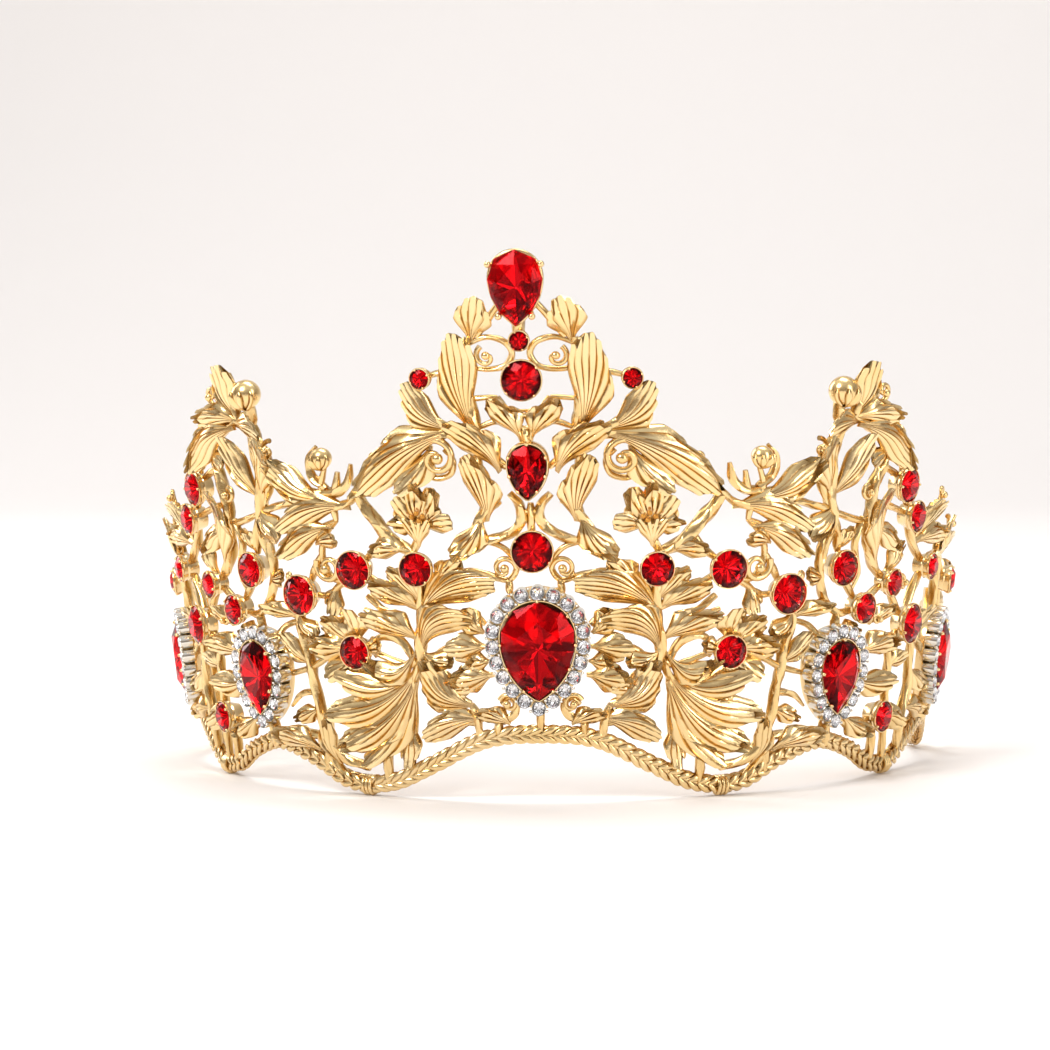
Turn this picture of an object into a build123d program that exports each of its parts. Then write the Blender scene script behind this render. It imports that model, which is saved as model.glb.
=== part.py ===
"""Baroque openwork crown: cast panels, a braided foot band and collet-set stones.

The crown is an open ring wall that flares upward. It is worn with the front towards -Y,
the open back towards +Y and +Z up. The origin is at the ring centre, in the plane that the
braided band rests on. All sizes are millimetres.

Ornament is placed on the wall by two distances: s, along the wall from the front (positive
to +X, measured on ARC_RADIUS), and h, the height above the band's low centre line.
"""
from build123d import *
import os
from math import atan2, cos, degrees, hypot, radians, sin, tan

os.makedirs("parts", exist_ok=True)

# The ring wall
BASE_RADIUS = 68.0  # wall surface at the foot
FLARE = radians(7.0)  # the wall leans outward by this angle
ARC_RADIUS = 72.0  # radius on which distances along the wall are measured
LEAN = 0.042  # the crest leans sideways by this slope
LEAN_FROM = 20.0  # height where the lean starts
LEAN_SPREAD = 33.5  # distance from the front where the lean has faded out
WALL_TOP = 98.0
WALL_FOOT = -4.0

# Five cast panels meet at the band's low points; those on the left mirror those on the right
FRONT_JOINT = 33.5
SIDE_JOINT = 77.0
END_JOINT = 119.0
PANELS = {
    "centre_panel": (-FRONT_JOINT, FRONT_JOINT),
    "side_panel": (FRONT_JOINT, SIDE_JOINT),
    "end_panel": (SIDE_JOINT, END_JOINT),
}

# Layers through the wall, as distances out from its surface
CAST_BACK = -0.7
CAST_FRONT = 0.7
LEAF_FRONT = 1.5
PETAL_FRONT = 2.3
BAND_SIZE = 2.6  # width and depth of the braided band
TIE_WIDTH = 1.8  # binding over each joint of the band
TIE_WALL = 0.7

# The band's centre line, as (s, h), over the front, side and end arches
BAND_ARCHES = [
    [(-33.5, 0), (-27, 1.2), (-20, 4.3), (-10, 8.9), (0, 9.9), (10, 8.9), (20, 4.3), (27, 1.2), (33.5, 0)],
    [(33.5, 0), (39, 0.9), (46, 4.2), (55, 6.4), (64, 4.2), (71, 0.9), (77, 0)],
    [(77, 0), (82, 0.9), (89, 4.2), (98, 6.4), (107, 4.2), (114, 0.9), (119, 0)],
]

# End posts with pin eyelets
POST_TOP = 29.0
POST_WIDTH = 2.4
EYELET_CENTRE = END_JOINT + POST_WIDTH + 0.6
EYELET_HEIGHTS = [8.0, 24.0]
EYELET_DEPTH = 2.0
EYELET_OUTER = 2.3
EYELET_BORE = 1.1

# Stones: round ones as (s, h, diameter), pear ones as (s, h, width, length)
CREST_ROUNDS = [(0, 77.6, 3.1), (0, 71, 6.6), (0, 42, 6.8)]
FRONT_ROUNDS = [(16.5, 71.3, 3.2), (20, 38.8, 5.6), (32, 38.4, 6.4), (33, 24, 5.6)]
SIDE_ROUNDS = [
    (43.8, 33.6, 6.8), (55.7, 37.5, 6.0), (62, 30, 5.2), (70, 34, 4.6), (71.7, 51.4, 6.0),
    (75.9, 45.6, 5.4), (71, 9.7, 5.4),
]
END_ROUNDS = [(78.3, 26, 7.0), (85, 36, 4.6), (106, 32, 5.0), (113, 19.5, 5.0)]
TOP_PEAR = (0, 86.4, 9.4, 13.0)
CREST_PEAR = (0, 55.5, 6.6, 9.4)
MEDALLIONS = {
    "centre": (0, 25, 12.8, 17.2, 20),
    "side": (56.3, 18.3, 9.2, 13.2, 16),
    "end": (98, 18.3, 9.2, 13.2, 16),
}
COLLET_LIP = 0.5  # metal around a stone
COLLET_FRONT = 2.8
SEAT_DEPTH = 1.4  # depth of the stone's seat below the collet's front
STONE_SLACK = 0.03
CROWN_RATIO = 0.24  # height of a stone above its collet, by its width
TABLE_RATIO = 0.56  # width of a stone's flat table, by its width
MEDALLION_FRONT = 4.0
HALO_SIZE = 2.3  # halo stone diameter
HALO_OFFSET = 1.75  # halo stone centres, outside the pear's edge
HALO_RIM = 1.45  # halo plate beyond the stone centres
HALO_FRONT = 2.8
HALO_SEAT = 0.7  # depth of a halo cup
BASKET_INSET = 1.2  # basket inside the top pear's edge
CLAWS = [(4.6, 4.2), (2.9, -4.8)]  # claws of the top pear, from its centre, on each side
CLAW_SIZE = 0.8
CLAW_HOOK = 0.5  # claws stand past the girdle
CLAW_INNER = 0.6  # each claw's foot starts this far out from the centre, by its distance

# Stems of the castings, as (width, points); each is on both sides of the front
STEMS = [
    # crest
    (0.9, [(8.4, 76.8), (5.5, 78), (2.6, 77.3), (1.4, 75.3), (2.6, 73.2), (5.5, 72.6), (8.8, 73)]),
    (1.6, [(7.8, 62.2), (8.6, 66), (9.3, 72), (8.4, 78)]),
    (1.0, [(6.9, 78), (5, 80.8), (3, 83.4), (1, 85)]),
    (0.9, [(0.8, 61.6), (4.2, 63.8), (8, 62.6)]),
    (0.8, [(4.2, 68), (9, 67.6)]),
    (1.2, [(0.4, 60), (0.9, 62), (2.6, 65), (4.2, 68)]),
    (0.9, [(9, 72.2), (12.8, 72.2), (16.5, 71.3)]),
    (1.2, [(8, 62.6), (13, 63), (16.4, 65.6), (18.2, 69), (16.5, 71.3)]),
    (1.4, [(3.4, 56), (5.4, 57.6), (8.6, 60.2), (12, 61.7), (16, 61), (21, 57.6), (31, 51.6)]),
    (0.9, [(16, 61), (18.3, 59), (18.3, 56), (16, 54.2), (13.2, 54.8), (12.4, 57.2), (14, 59)]),
    (1.2, [(8, 62.6), (9.4, 61.6), (11, 61.4)]),
    (1.4, [(8.4, 47.4), (7.6, 50), (8.2, 54.5), (8.4, 60)]),
    (1.4, [(3.4, 51.6), (1.8, 49.6), (1.6, 47), (3.6, 44.8), (7, 43.6), (10.4, 43.4)]),
    (1.4, [(5, 50.4), (6.6, 49.4), (8.4, 47.4), (10.2, 44.2), (12.6, 40.8), (14, 38)]),
    # scrolls and leaves round the great stone
    (0.9, [(8.8, 43.4), (5.5, 42.6), (3.6, 40.8), (3, 38.6), (4.3, 36.8), (6.2, 37.2), (6.2, 39)]),
    (1.3, [(5.8, 37), (12, 38), (17, 35.6), (20.4, 30.4)]),
    (1.1, [(4.3, 36.8), (4.5, 34.4)]),
    (1.5, [(20.4, 30.4), (21.2, 26.5), (20.8, 22.5), (19.4, 19), (16.5, 16.8), (12.4, 15.2)]),
    (1.2, [(20.8, 23.5), (19.6, 28.2), (15.5, 30.6), (11.2, 30.6), (9, 29)]),
    (1.0, [(8.6, 25.2), (14, 25.2), (17.4, 24.2), (20, 21)]),
    (1.1, [(8, 20.3), (13.5, 20), (17, 17.2)]),
    (1.2, [(6.9, 15.2), (5.6, 16.4), (4.3, 15.4), (4.8, 13.4), (7.6, 12.4), (10.8, 13.2), (12.4, 15.2)]),
    (1.3, [(7.6, 12.4), (7.7, 9.6)]),
    (1.2, [(12.4, 15.2), (11.4, 12.6), (10.8, 9)]),
    (1.0, [(11.2, 11.6), (15, 12), (20.4, 10)]),
    # stems beside the great leaves
    (1.2, [(19.3, 45.8), (20.2, 43), (21.6, 40.4)]),
    (1.8, [(20.8, 41.2), (23.5, 42.4), (26.5, 45), (29.3, 48.4), (31.2, 51.6)]),
    (1.1, [(26.2, 44.8), (28.3, 41.8), (31, 39.6)]),
    (1.3, [(20, 37.4), (20.4, 33.5), (20.4, 30)]),
    (1.1, [(20.6, 31.4), (24.5, 33.4), (28.5, 36), (31, 37.6)]),
    (1.1, [(21.2, 26.3), (26, 29), (31.6, 31.2)]),
    (1.1, [(21, 23), (23.4, 21.7), (26, 22.2), (31, 24)]),
    (1.2, [(21.2, 24), (22.6, 20), (26, 16), (32.6, 13.4)]),
    (1.2, [(22.4, 21), (23.4, 16), (26, 11.4), (32.6, 7.2)]),
    (1.0, [(22.8, 19), (23, 12), (23.8, 7), (24.2, 2)]),
    (1.4, [(29, 9), (29, 0.6)]),
    (0.9, [(23.2, 13), (26, 8), (32.6, 5.4)]),
    # side panels
    (1.1, [(33, 37), (36.4, 35.2), (38.8, 33.4), (42, 33.4)]),
    (1.0, [(36, 46.5), (38.8, 43.6), (39.6, 40), (38, 36.6), (35.2, 36.4), (34.4, 38.4), (36, 39.6)]),
    (1.1, [(39.4, 41), (41.4, 38), (43, 35)]),
    (1.2, [(31.2, 51.4), (34, 49.4), (40, 48.6), (44, 49.6), (50, 48.4), (53.4, 47.4)]),
    (1.0, [(36, 46.5), (36.6, 49), (38.6, 52), (37.5, 56)]),
    (1.1, [(38, 51), (35.8, 51.8), (35, 55)]),
    (1.2, [(38, 51), (43, 52), (48.8, 55.6)]),
    (1.1, [(36, 46.5), (41, 44.4), (46.6, 41.4)]),
    (1.8, [(52, 39), (53.6, 46), (52.6, 51), (52.6, 57), (53.8, 62.4), (57, 63.8)]),
    (1.6, [(53.8, 62.4), (53.2, 67)]),
    (1.4, [(57, 63.8), (58, 68), (58.8, 72)]),
    (1.1, [(57, 63.8), (62, 64.3), (66.5, 63.7)]),
    (1.4, [(57, 63.8), (62, 61.5), (66.6, 58.6), (71.5, 55)]),
    (1.1, [(53.4, 47.4), (59.5, 45.6), (63.4, 45.2)]),
    (1.6, [(66.4, 58.6), (65.6, 55), (63.8, 51), (63.4, 45), (64, 40.5), (66, 37), (69, 34.8)]),
    (1.1, [(65.6, 55), (71, 53)]),
    (1.1, [(64, 48.6), (69, 47.6), (75, 46)]),
    (1.2, [(53.4, 47.4), (51.8, 41), (51.8, 36), (53.4, 32), (57, 29.2), (61.4, 29.6)]),
    (1.2, [(55.7, 40), (55.2, 43.6), (53.4, 47.4)]),
    (1.1, [(57.5, 35.5), (61, 31.5)]),
    (1.2, [(57, 29.2), (56.5, 25.6)]),
    (1.5, [(45, 32), (46.2, 28.6), (45, 24), (44.4, 20), (43.2, 12.5), (42.2, 8), (42.6, 1.6)]),
    (1.0, [(46.2, 29), (50, 30.4), (53.6, 31.8)]),
    (1.0, [(46.2, 28.6), (50, 27.4), (53, 25)]),
    (1.0, [(35, 24.4), (41, 22), (44.6, 20.3), (51, 18.6)]),
    (1.2, [(38, 1), (42, 5.6), (41, 11)]),
    (1.4, [(42.3, 8), (48, 8.4), (54, 8.4)]),
    (1.6, [(56.3, 10.5), (56.3, 5.4)]),
    (1.2, [(62.4, 20.6), (68, 22.6), (73.5, 22.6), (77, 25)]),
    (1.1, [(62.4, 16.4), (68, 15.8), (74.4, 16)]),
    (1.1, [(60, 10), (64, 8), (70, 9.4)]),
    (1.2, [(71, 8), (71.4, 0.4)]),
    (1.1, [(63.5, 30.6), (69, 33.6)]),
    (1.1, [(71, 33), (75.5, 28.6), (77, 27)]),
    (1.2, [(73.5, 22.6), (74.6, 18), (74.4, 14), (75.4, 8), (76.2, -0.6)]),
    (1.2, [(76.2, 44.4), (79, 40.6), (84.6, 36.6)]),
    # end panels
    (1.2, [(79.4, 28.5), (84.4, 35)]),
    (1.3, [(79, 40.6), (84, 42.4), (88.4, 47)]),
    (1.2, [(86, 36), (92, 37.6), (98, 36), (105, 32.6)]),
    (1.3, [(98, 25.5), (98, 31), (96.6, 36.2), (96.4, 41)]),
    (1.2, [(80, 25), (86, 22.4), (92.2, 19)]),
    (1.2, [(104, 18.6), (108.4, 20.6), (112, 20)]),
    (1.2, [(114, 18.5), (116.4, 12.6), (119, 10)]),
    (1.1, [(106, 31), (108.6, 25.4), (108.4, 20.6)]),
    (1.2, [(114, 20.5), (117, 23.4), (119, 25)]),
    (1.6, [(98, 10.5), (98, 5.6)]),
    (1.3, [(83.6, 23.4), (85, 14), (83, 7), (83, 1.4)]),
    (1.3, [(108.4, 20.6), (107.4, 12), (109.4, 3.4)]),
    (1.2, [(107, 32.4), (114, 30.4), (119, 25)]),
]
BEND_SHARE = 0.45  # part of the shorter run that a bend takes up
# Stems on the middle line, as (width, points)
MIDDLE_STEMS = [
    (1.6, [(0, 83), (0, 77)]), (1.6, [(0, 62.8), (0, 59)]), (1.2, [(0, 50), (0, 44)]),
    (0.9, [(-1.8, 48.4), (1.8, 48.4)]), (1.2, [(0, 16), (0, 10.5)]), (0.5, [(-2.9, 65.6), (2.9, 65.6)]),
]
# Rings of wire: (s, h, radius, width)
RINGS = [(0, 63.9, 1.1, 0.7)]
# Ball buds at stem ends: (s, h, diameter)
BUDS = [(53.4, 68.4, 5.2), (37.7, 57.4, 3.8)]

# Leaves as (root s, root h, tip s, tip h, width, bow); a positive bow is to the left of the
# way from root to tip. The flowers' petals have the same form.
CREST_LEAVES = [
    (7.2, 77.6, 3.9, 84.4, 2.2, 0.4), (7.2, 77.6, 5.6, 85.2, 2.4, 0), (7.2, 77.6, 7.6, 83.8, 2.2, -0.4),
    (8.6, 62.6, 8.8, 79.2, 3.4, 0.9), (8.8, 62.6, 11.4, 78.2, 3.4, -0.4), (9, 62.6, 13.2, 74.6, 3.2, -1.4),
    (1.2, 61.8, 4.6, 68.4, 2.6, 0), (1.4, 61.8, 6.2, 66.2, 2.2, -0.4),
    (11.6, 62.4, 18.4, 69.9, 3.6, -1.6), (13, 62, 19.4, 66.6, 2.6, -1.2),
    (4.4, 56, 13.6, 63.2, 3.6, 1.6), (5.4, 56.6, 13.2, 60.6, 2.4, 0.6),
    (14.6, 61.6, 31, 51.6, 4.4, 1.2), (15.6, 60.8, 25.4, 58, 2.6, 1.2),
    (17, 60, 26, 51.4, 3.2, -0.6), (16.6, 60, 21, 51.4, 3, -0.8),
    (8.4, 46.6, 8.6, 59, 3.4, 1.4), (8.6, 46.6, 10.2, 55.6, 2.6, -0.6),
    (8.2, 47.4, 12.9, 40.4, 3.6, -0.5),
]
MEDALLION_LEAVES = [
    (20.3, 30.4, 6.8, 37.2, 3.4, -3.2), (20.1, 30.2, 10, 34.8, 2.4, -1.6),
    (20.9, 24.2, 11.2, 31, 3.2, -3.6), (20.9, 24.2, 13.6, 28, 1.8, -1.8),
    (9.4, 27.4, 10.3, 32, 2.4, -0.4), (9.4, 27.4, 13, 28.4, 1.8, 0.4),
    (9.2, 25.2, 15.4, 25.2, 2.8, 0), (8.4, 20.3, 14.8, 19.9, 2.8, 0),
    (12.8, 15.6, 19.8, 22, 3.2, -1.8), (12.2, 15.2, 12.6, 18.6, 1.6, 0),
    (11.2, 12, 20.2, 10.2, 2.4, 1.1), (11.2, 11.2, 18.6, 9, 1.8, 0.4),
    (21, 31.8, 28, 35.8, 2.8, 0.3), (21.4, 26.4, 31.8, 31.2, 3, 0.5), (23.6, 11.2, 24, 4.2, 2.4, 0),
]
ACANTHUS_LEAVES = [
    (21.8, 23.6, 33.4, 20.8, 2.6, -3.6), (22, 22, 38, 16.4, 3.2, -3.4), (22.2, 20.6, 39.8, 11.8, 3.4, -3.4),
    (22.4, 19, 39, 8, 3.2, -3.2), (22.8, 17.4, 36.6, 5, 2.8, -2.8),
]
LILY_PETALS = [
    (19.3, 45.8, 12.7, 46.9, 2.8, -0.4), (19.3, 45.8, 15.3, 51.9, 3.2, 0.3),
    (19.3, 45.8, 18.7, 53.2, 3.2, 0), (19.3, 45.8, 22.3, 51, 3, -0.3),
]
ROSETTE_PETALS = [
    (32.8, 25.4, 31.6, 30, 2.8, 0), (34, 25, 37.4, 29.4, 3.2, 0.2), (34.6, 24.2, 41.8, 25.6, 3.2, 0.2),
    (34.2, 23, 41, 20.6, 3, 0), (33.4, 22.2, 36.6, 17.6, 2.6, 0), (32.4, 22.6, 30.4, 18.6, 2.4, 0),
]
SIDE_LEAVES = [
    (33, 48.8, 47, 45.2, 3.6, 1.6), (36.8, 45.4, 47.4, 40.9, 3, 0.8), (38.4, 50.6, 48.8, 56, 3.2, -0.9),
    (39.4, 50, 48.2, 50.6, 2.2, 0.3), (36.6, 35.2, 37.8, 30.4, 2.2, 0.2),
    (46.2, 29.2, 53.6, 32, 1.6, 0.2), (46.2, 28.8, 53, 29.2, 1.4, 0), (43.6, 5.8, 54, 8.4, 3, 0.8),
    (39.4, 3.4, 41, 11.2, 2.2, -1.4), (53.8, 48, 48.4, 43.4, 3.6, 0.3),
    (52.4, 50.6, 51, 60.6, 2.8, 0.8), (53, 50, 60, 60.6, 2.8, -0.4),
    (55.4, 41, 53.2, 44.2, 1.6, 0), (56, 41, 58.8, 42.8, 1.6, 0),
    (62.8, 21.4, 73.6, 23.4, 3.2, 0.6), (62.6, 16.8, 74.2, 16.2, 3, -0.4), (60.8, 10.6, 67.8, 7.6, 2.6, -0.6),
    (65.9, 37.2, 65.7, 54.8, 2.6, 2), (73.6, 9.6, 81, 7.6, 2.8, 0),
]
PEAK_LEAVES = [
    (57, 63.8, 58.8, 73, 4.2, -0.6), (57, 63.6, 67, 63.8, 2.8, 0.5), (58.4, 62, 72, 54.8, 3.6, 1.6),
    (58.4, 62.6, 49.6, 61.8, 2.4, -0.6),
]
END_LEAVES = [
    (79.6, 40.8, 88.6, 47.2, 3.4, 1), (80.4, 40.4, 91, 42.6, 3, 0.6), (96.4, 36.6, 96.4, 44, 3.2, 0.3),
    (96.8, 36.6, 103, 40.4, 2.8, 0.6), (96, 36.8, 91, 40.4, 2.4, 0), (107, 32.6, 115.4, 31.8, 2.8, 0.8),
    (83.8, 23, 90.6, 27.8, 2.8, 0.5), (84.6, 17, 91.4, 13.6, 2.8, -0.6), (84, 9.6, 92.4, 8.4, 2.6, 0.6),
    (108.2, 20.4, 104.6, 26.4, 2.4, -0.3), (107.6, 12.6, 115, 15, 2.8, 0.6), (108, 8.4, 103.4, 10, 2.4, 0),
    (109, 26.8, 115, 26.4, 2.6, 0.4), (110, 5, 117.6, 7.4, 2.4, 0.5),
]


def wall_angle(s, h):
    """The angle from the front at s and h, with the crest's lean."""
    fade = max(0.0, 1 - (s / LEAN_SPREAD) ** 2)
    return (s - LEAN * max(0.0, h - LEAN_FROM) * fade) / ARC_RADIUS


def wall_point(s, h, out=0.0):
    """The point at s and h, a distance out from the wall's surface."""
    angle = wall_angle(s, h)
    radius = BASE_RADIUS + h * tan(FLARE) + out * cos(FLARE)
    rest_height = h + BAND_SIZE / 2
    return Vector(radius * sin(angle), -radius * cos(angle), rest_height - out * sin(FLARE))


def wall_plane(s, h, out=0.0):
    """A plane on the wall that faces outward, with its y axis up the wall."""
    angle = wall_angle(s, h)
    facing = (cos(FLARE) * sin(angle), -cos(FLARE) * cos(angle), -sin(FLARE))
    return Plane(origin=wall_point(s, h, out), x_dir=(cos(angle), sin(angle), 0), z_dir=facing)


def flat(plane, s, h):
    """The wall point at s and h, seen straight on to a panel's plane."""
    local = plane.to_local_coords(wall_point(s, h))
    return (local.X, local.Y)


def wall_sector(s_from, s_to, inner, outer, foot=WALL_FOOT, top=WALL_TOP):
    """A stretch of the wall between two distances out from its surface and two heights."""
    lean_back = tan(FLARE)
    inner_foot = BASE_RADIUS + foot * lean_back + inner / cos(FLARE)
    outer_foot = BASE_RADIUS + foot * lean_back + outer / cos(FLARE)
    rise = (top - foot) * lean_back
    z_foot = foot + BAND_SIZE / 2
    z_top = top + BAND_SIZE / 2
    start = s_from / ARC_RADIUS
    side = Plane(origin=(0, 0, 0), x_dir=(sin(start), -cos(start), 0), z_dir=(-cos(start), -sin(start), 0))
    with BuildPart(mode=Mode.PRIVATE) as sector:
        with BuildSketch(side):
            with BuildLine():
                Polyline(
                    (inner_foot, z_foot), (outer_foot, z_foot), (outer_foot + rise, z_top),
                    (inner_foot + rise, z_top), close=True,
                )
            make_face()
        revolve(axis=Axis.Z, revolution_arc=degrees((s_to - s_from) / ARC_RADIUS))
    return sector.part


def leaf_corners(leaf):
    """Root, tip and the middle of each side of a leaf, as (s, h)."""
    root_s, root_h, tip_s, tip_h, width, bow = leaf
    length = hypot(tip_s - root_s, tip_h - root_h)
    across = (-(tip_h - root_h) / length, (tip_s - root_s) / length)
    middle = ((root_s + tip_s) / 2, (root_h + tip_h) / 2)
    sides = [bow + width / 2, bow - width / 2]
    left, right = [(middle[0] + across[0] * d, middle[1] + across[1] * d) for d in sides]
    return (root_s, root_h), left, (tip_s, tip_h), right


def leaf_outline(plane, leaf, hand):
    """A leaf's outline on a panel's plane; hand is -1 for its mirror image."""
    root, left, tip, right = [flat(plane, hand * s, h) for s, h in leaf_corners(leaf)]
    with BuildSketch(mode=Mode.PRIVATE) as outline:
        with BuildLine():
            ThreePointArc(root, left, tip)
            ThreePointArc(tip, right, root)
        make_face()
    return outline.sketch


def stem_outline(plane, width, points, hand):
    """A stem of even width through its points, on a panel's plane, with rounded bends."""
    route = [Vector(*flat(plane, hand * s, h)) for s, h in points]
    runs = [after - before for before, after in zip(route, route[1:])]
    turns = [radians(run.get_angle(following)) for run, following in zip(runs, runs[1:])]
    shorter = [min(run.length, following.length) for run, following in zip(runs, runs[1:])]
    radii = [BEND_SHARE * run / tan(turn / 2) for run, turn in zip(shorter, turns)]
    with BuildSketch(mode=Mode.PRIVATE) as outline:
        with BuildLine():
            if radii:
                FilletPolyline(*route, radius=radii)
            else:
                Line(*route)
        trace(line_width=width)
    return outline.sketch


def near(points, s_from, s_to, hand, margin=3.0):
    """True where any of the points is on or close to a stretch of the wall."""
    places = [hand * s for s, h in points]
    return max(places) > s_from - margin and min(places) < s_to + margin


def pear_outline(width, length):
    """A pear: a round upper end and two side arcs that meet in a point below."""
    half = width / 2
    centre = length / 2 - half
    drop = centre + length / 2
    side_radius = (half**2 + drop**2) / width
    sweep = atan2(drop, side_radius - half) / 2
    side_x = half - side_radius + side_radius * cos(sweep)
    side_y = centre - side_radius * sin(sweep)
    with BuildSketch(mode=Mode.PRIVATE) as pear:
        with BuildLine():
            ThreePointArc((half, centre), (0, length / 2), (-half, centre))
            ThreePointArc((-half, centre), (-side_x, side_y), (0, -length / 2))
            ThreePointArc((0, -length / 2), (side_x, side_y), (half, centre))
        make_face()
    return pear.sketch


def round_outline(diameter):
    """A round stone's edge."""
    with BuildSketch(mode=Mode.PRIVATE) as disc:
        Circle(diameter / 2)
    return disc.sketch


def grow(outline, amount):
    """An outline moved outward by an amount."""
    with BuildSketch(mode=Mode.PRIVATE) as grown:
        offset(outline, amount=amount, kind=Kind.ARC)
    return grown.sketch


def edge_points(outline, count):
    """Evenly spaced points on an outline."""
    rim = outline.faces()[0].outer_wire()
    return [rim.position_at((i + 0.5) / count) for i in range(count)]


def plug(outline, back, front):
    """A straight plug of an outline's shape, between two levels above its seat."""
    with BuildPart(mode=Mode.PRIVATE) as solid:
        with BuildSketch(Plane.XY.offset(back)):
            add(outline)
        extrude(amount=front - back)
    return solid.part


def cut_stone(outline, width, facets, front, depth=SEAT_DEPTH):
    """A faceted stone: pavilion in the seat, girdle level with the collet, crown above it."""
    rim = [(p.X, p.Y) for p in edge_points(grow(outline, -STONE_SLACK), facets)]
    levels = [
        (front - depth, 0.45), (front - 0.3, 1.0), (front, 1.0), (front + CROWN_RATIO * width, TABLE_RATIO),
    ]
    with BuildPart(mode=Mode.PRIVATE) as stone:
        for level, scale in levels:
            with BuildSketch(Plane.XY.offset(level)):
                Polygon(*[(x * scale, y * scale) for x, y in rim], align=None)
        loft(ruled=True)
    return stone.part


def collet(outline, front):
    """A closed cup that holds a stone by its edge."""
    with BuildPart(mode=Mode.PRIVATE) as cup:
        add(plug(grow(outline, COLLET_LIP), CAST_FRONT, front))
        add(plug(outline, front - SEAT_DEPTH, front), mode=Mode.SUBTRACT)
    return cup.part


def seat_plug(s, h, outline):
    """A plug that clears the leaves in front of the casting for a stone's setting."""
    return wall_plane(s, h).location * plug(outline, CAST_FRONT - 0.3, MEDALLION_FRONT)


def write(name, part):
    """Write a finished sub-part that lies across the front."""
    part.label = name
    export_step(part, f"parts/{name}.step")


def write_pair(name, part):
    """Write a finished sub-part of the right side and its mirror image on the left."""
    write(f"right_{name}", part)
    write(f"left_{name}", mirror(part, about=Plane.YZ))


def both_sides(places):
    """Places and their mirror images."""
    return places + [(-place[0], *place[1:]) for place in places]


def close_to(places, s_from, s_to, margin=12.0):
    """The things in a list of (s, thing) that are on or near a stretch of the wall."""
    return [thing for s, thing in places if s_from - margin < s < s_to + margin]


# Settings: (s, h, outline of the stone with its collet's lip), and the plugs that clear them
rounds = CREST_ROUNDS + FRONT_ROUNDS + SIDE_ROUNDS + END_ROUNDS
settings = [(s, h, round_outline(diameter + 2 * COLLET_LIP)) for s, h, diameter in rounds]
settings.append((CREST_PEAR[0], CREST_PEAR[1], grow(pear_outline(*CREST_PEAR[2:]), COLLET_LIP)))
settings.append((TOP_PEAR[0], TOP_PEAR[1], grow(pear_outline(*TOP_PEAR[2:]), -BASKET_INSET)))
for s, h, width, length, halo_count in MEDALLIONS.values():
    settings.append((s, h, grow(pear_outline(width, length), HALO_OFFSET + HALO_RIM)))
settings += [(-s, h, outline) for s, h, outline in settings if 0 < s < FRONT_JOINT + 6]
plugs = [(s, seat_plug(s, h, outline)) for s, h, outline in settings]

# Braided foot band, one length to each panel
foot_parts = []
for (name, (s_from, s_to)), arch in zip(PANELS.items(), BAND_ARCHES):
    plane = wall_plane((s_from + s_to) / 2, 0)
    with BuildPart() as band:
        with BuildSketch(plane):
            add(stem_outline(plane, BAND_SIZE, arch, 1))
        extrude(amount=30, both=True)
        half = BAND_SIZE / 2
        add(wall_sector(s_from, s_to, -half, half, foot=-half), mode=Mode.INTERSECT)
    foot_parts.append(band.part)
write("centre_band", foot_parts[0])
write_pair("side_band", foot_parts[1])
write_pair("end_band", foot_parts[2])

# Binding saddles over the joints of the band
with BuildPart() as joint_ties:
    for joint in (FRONT_JOINT, SIDE_JOINT):
        reach = BAND_SIZE / 2 + TIE_WALL
        s_from, s_to = joint - TIE_WIDTH / 2, joint + TIE_WIDTH / 2
        add(wall_sector(s_from, s_to, -reach, reach, foot=-BAND_SIZE / 2, top=reach))
    add(foot_parts, mode=Mode.SUBTRACT)
    mirror(about=Plane.YZ)
foot_parts.append(joint_ties.part)
write("joint_ties", joint_ties.part)

# Cast openwork panels, each with a flat pad behind every setting
for name, (s_from, s_to) in PANELS.items():
    plane = wall_plane((s_from + s_to) / 2, 0)
    with BuildPart() as panel:
        with BuildSketch(plane):
            add([
                stem_outline(plane, width, points, hand)
                for hand in (1, -1) for width, points in STEMS if near(points, s_from, s_to, hand)
            ])
            if name == "centre_panel":
                add([stem_outline(plane, width, points, 1) for width, points in MIDDLE_STEMS])
            add([Pos(*flat(plane, s, h)) * pad for s, h, pad in settings if s_from - 5 < s < s_to + 5])
            for ring_s, ring_h, radius, width in RINGS:
                if s_from < ring_s < s_to:
                    with Locations(flat(plane, ring_s, ring_h)):
                        Circle(radius + width / 2)
                        Circle(radius - width / 2, mode=Mode.SUBTRACT)
        extrude(amount=30, both=True)
        add(wall_sector(s_from, s_to, CAST_BACK, CAST_FRONT), mode=Mode.INTERSECT)
        for bud_s, bud_h, diameter in BUDS:
            if s_from < bud_s < s_to:
                with Locations(wall_plane(bud_s, bud_h)):
                    Sphere(diameter / 2)
        add(foot_parts, mode=Mode.SUBTRACT)
    if name == "centre_panel":
        write(name, panel.part)
    else:
        write_pair(name, panel.part)


def leaf_group(leaves, hands, neighbours=(), back=CAST_FRONT, front=LEAF_FRONT):
    """Leaves soldered to the front of the castings, cleared of the settings and of their neighbours."""
    places = [hand * leaf[0] for leaf in leaves for hand in hands]
    ends = places + [hand * leaf[2] for leaf in leaves for hand in hands]
    s_from, s_to = min(ends) - 4, max(ends) + 4
    plane = wall_plane((s_from + s_to) / 2, 0)
    with BuildPart(mode=Mode.PRIVATE) as group:
        with BuildSketch(plane):
            add([leaf_outline(plane, leaf, hand) for leaf in leaves for hand in hands])
        extrude(amount=30, both=True)
        add(wall_sector(s_from, s_to, back, front), mode=Mode.INTERSECT)
        add(close_to(plugs, s_from, s_to) + foot_parts + list(neighbours), mode=Mode.SUBTRACT)
    return group.part


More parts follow.
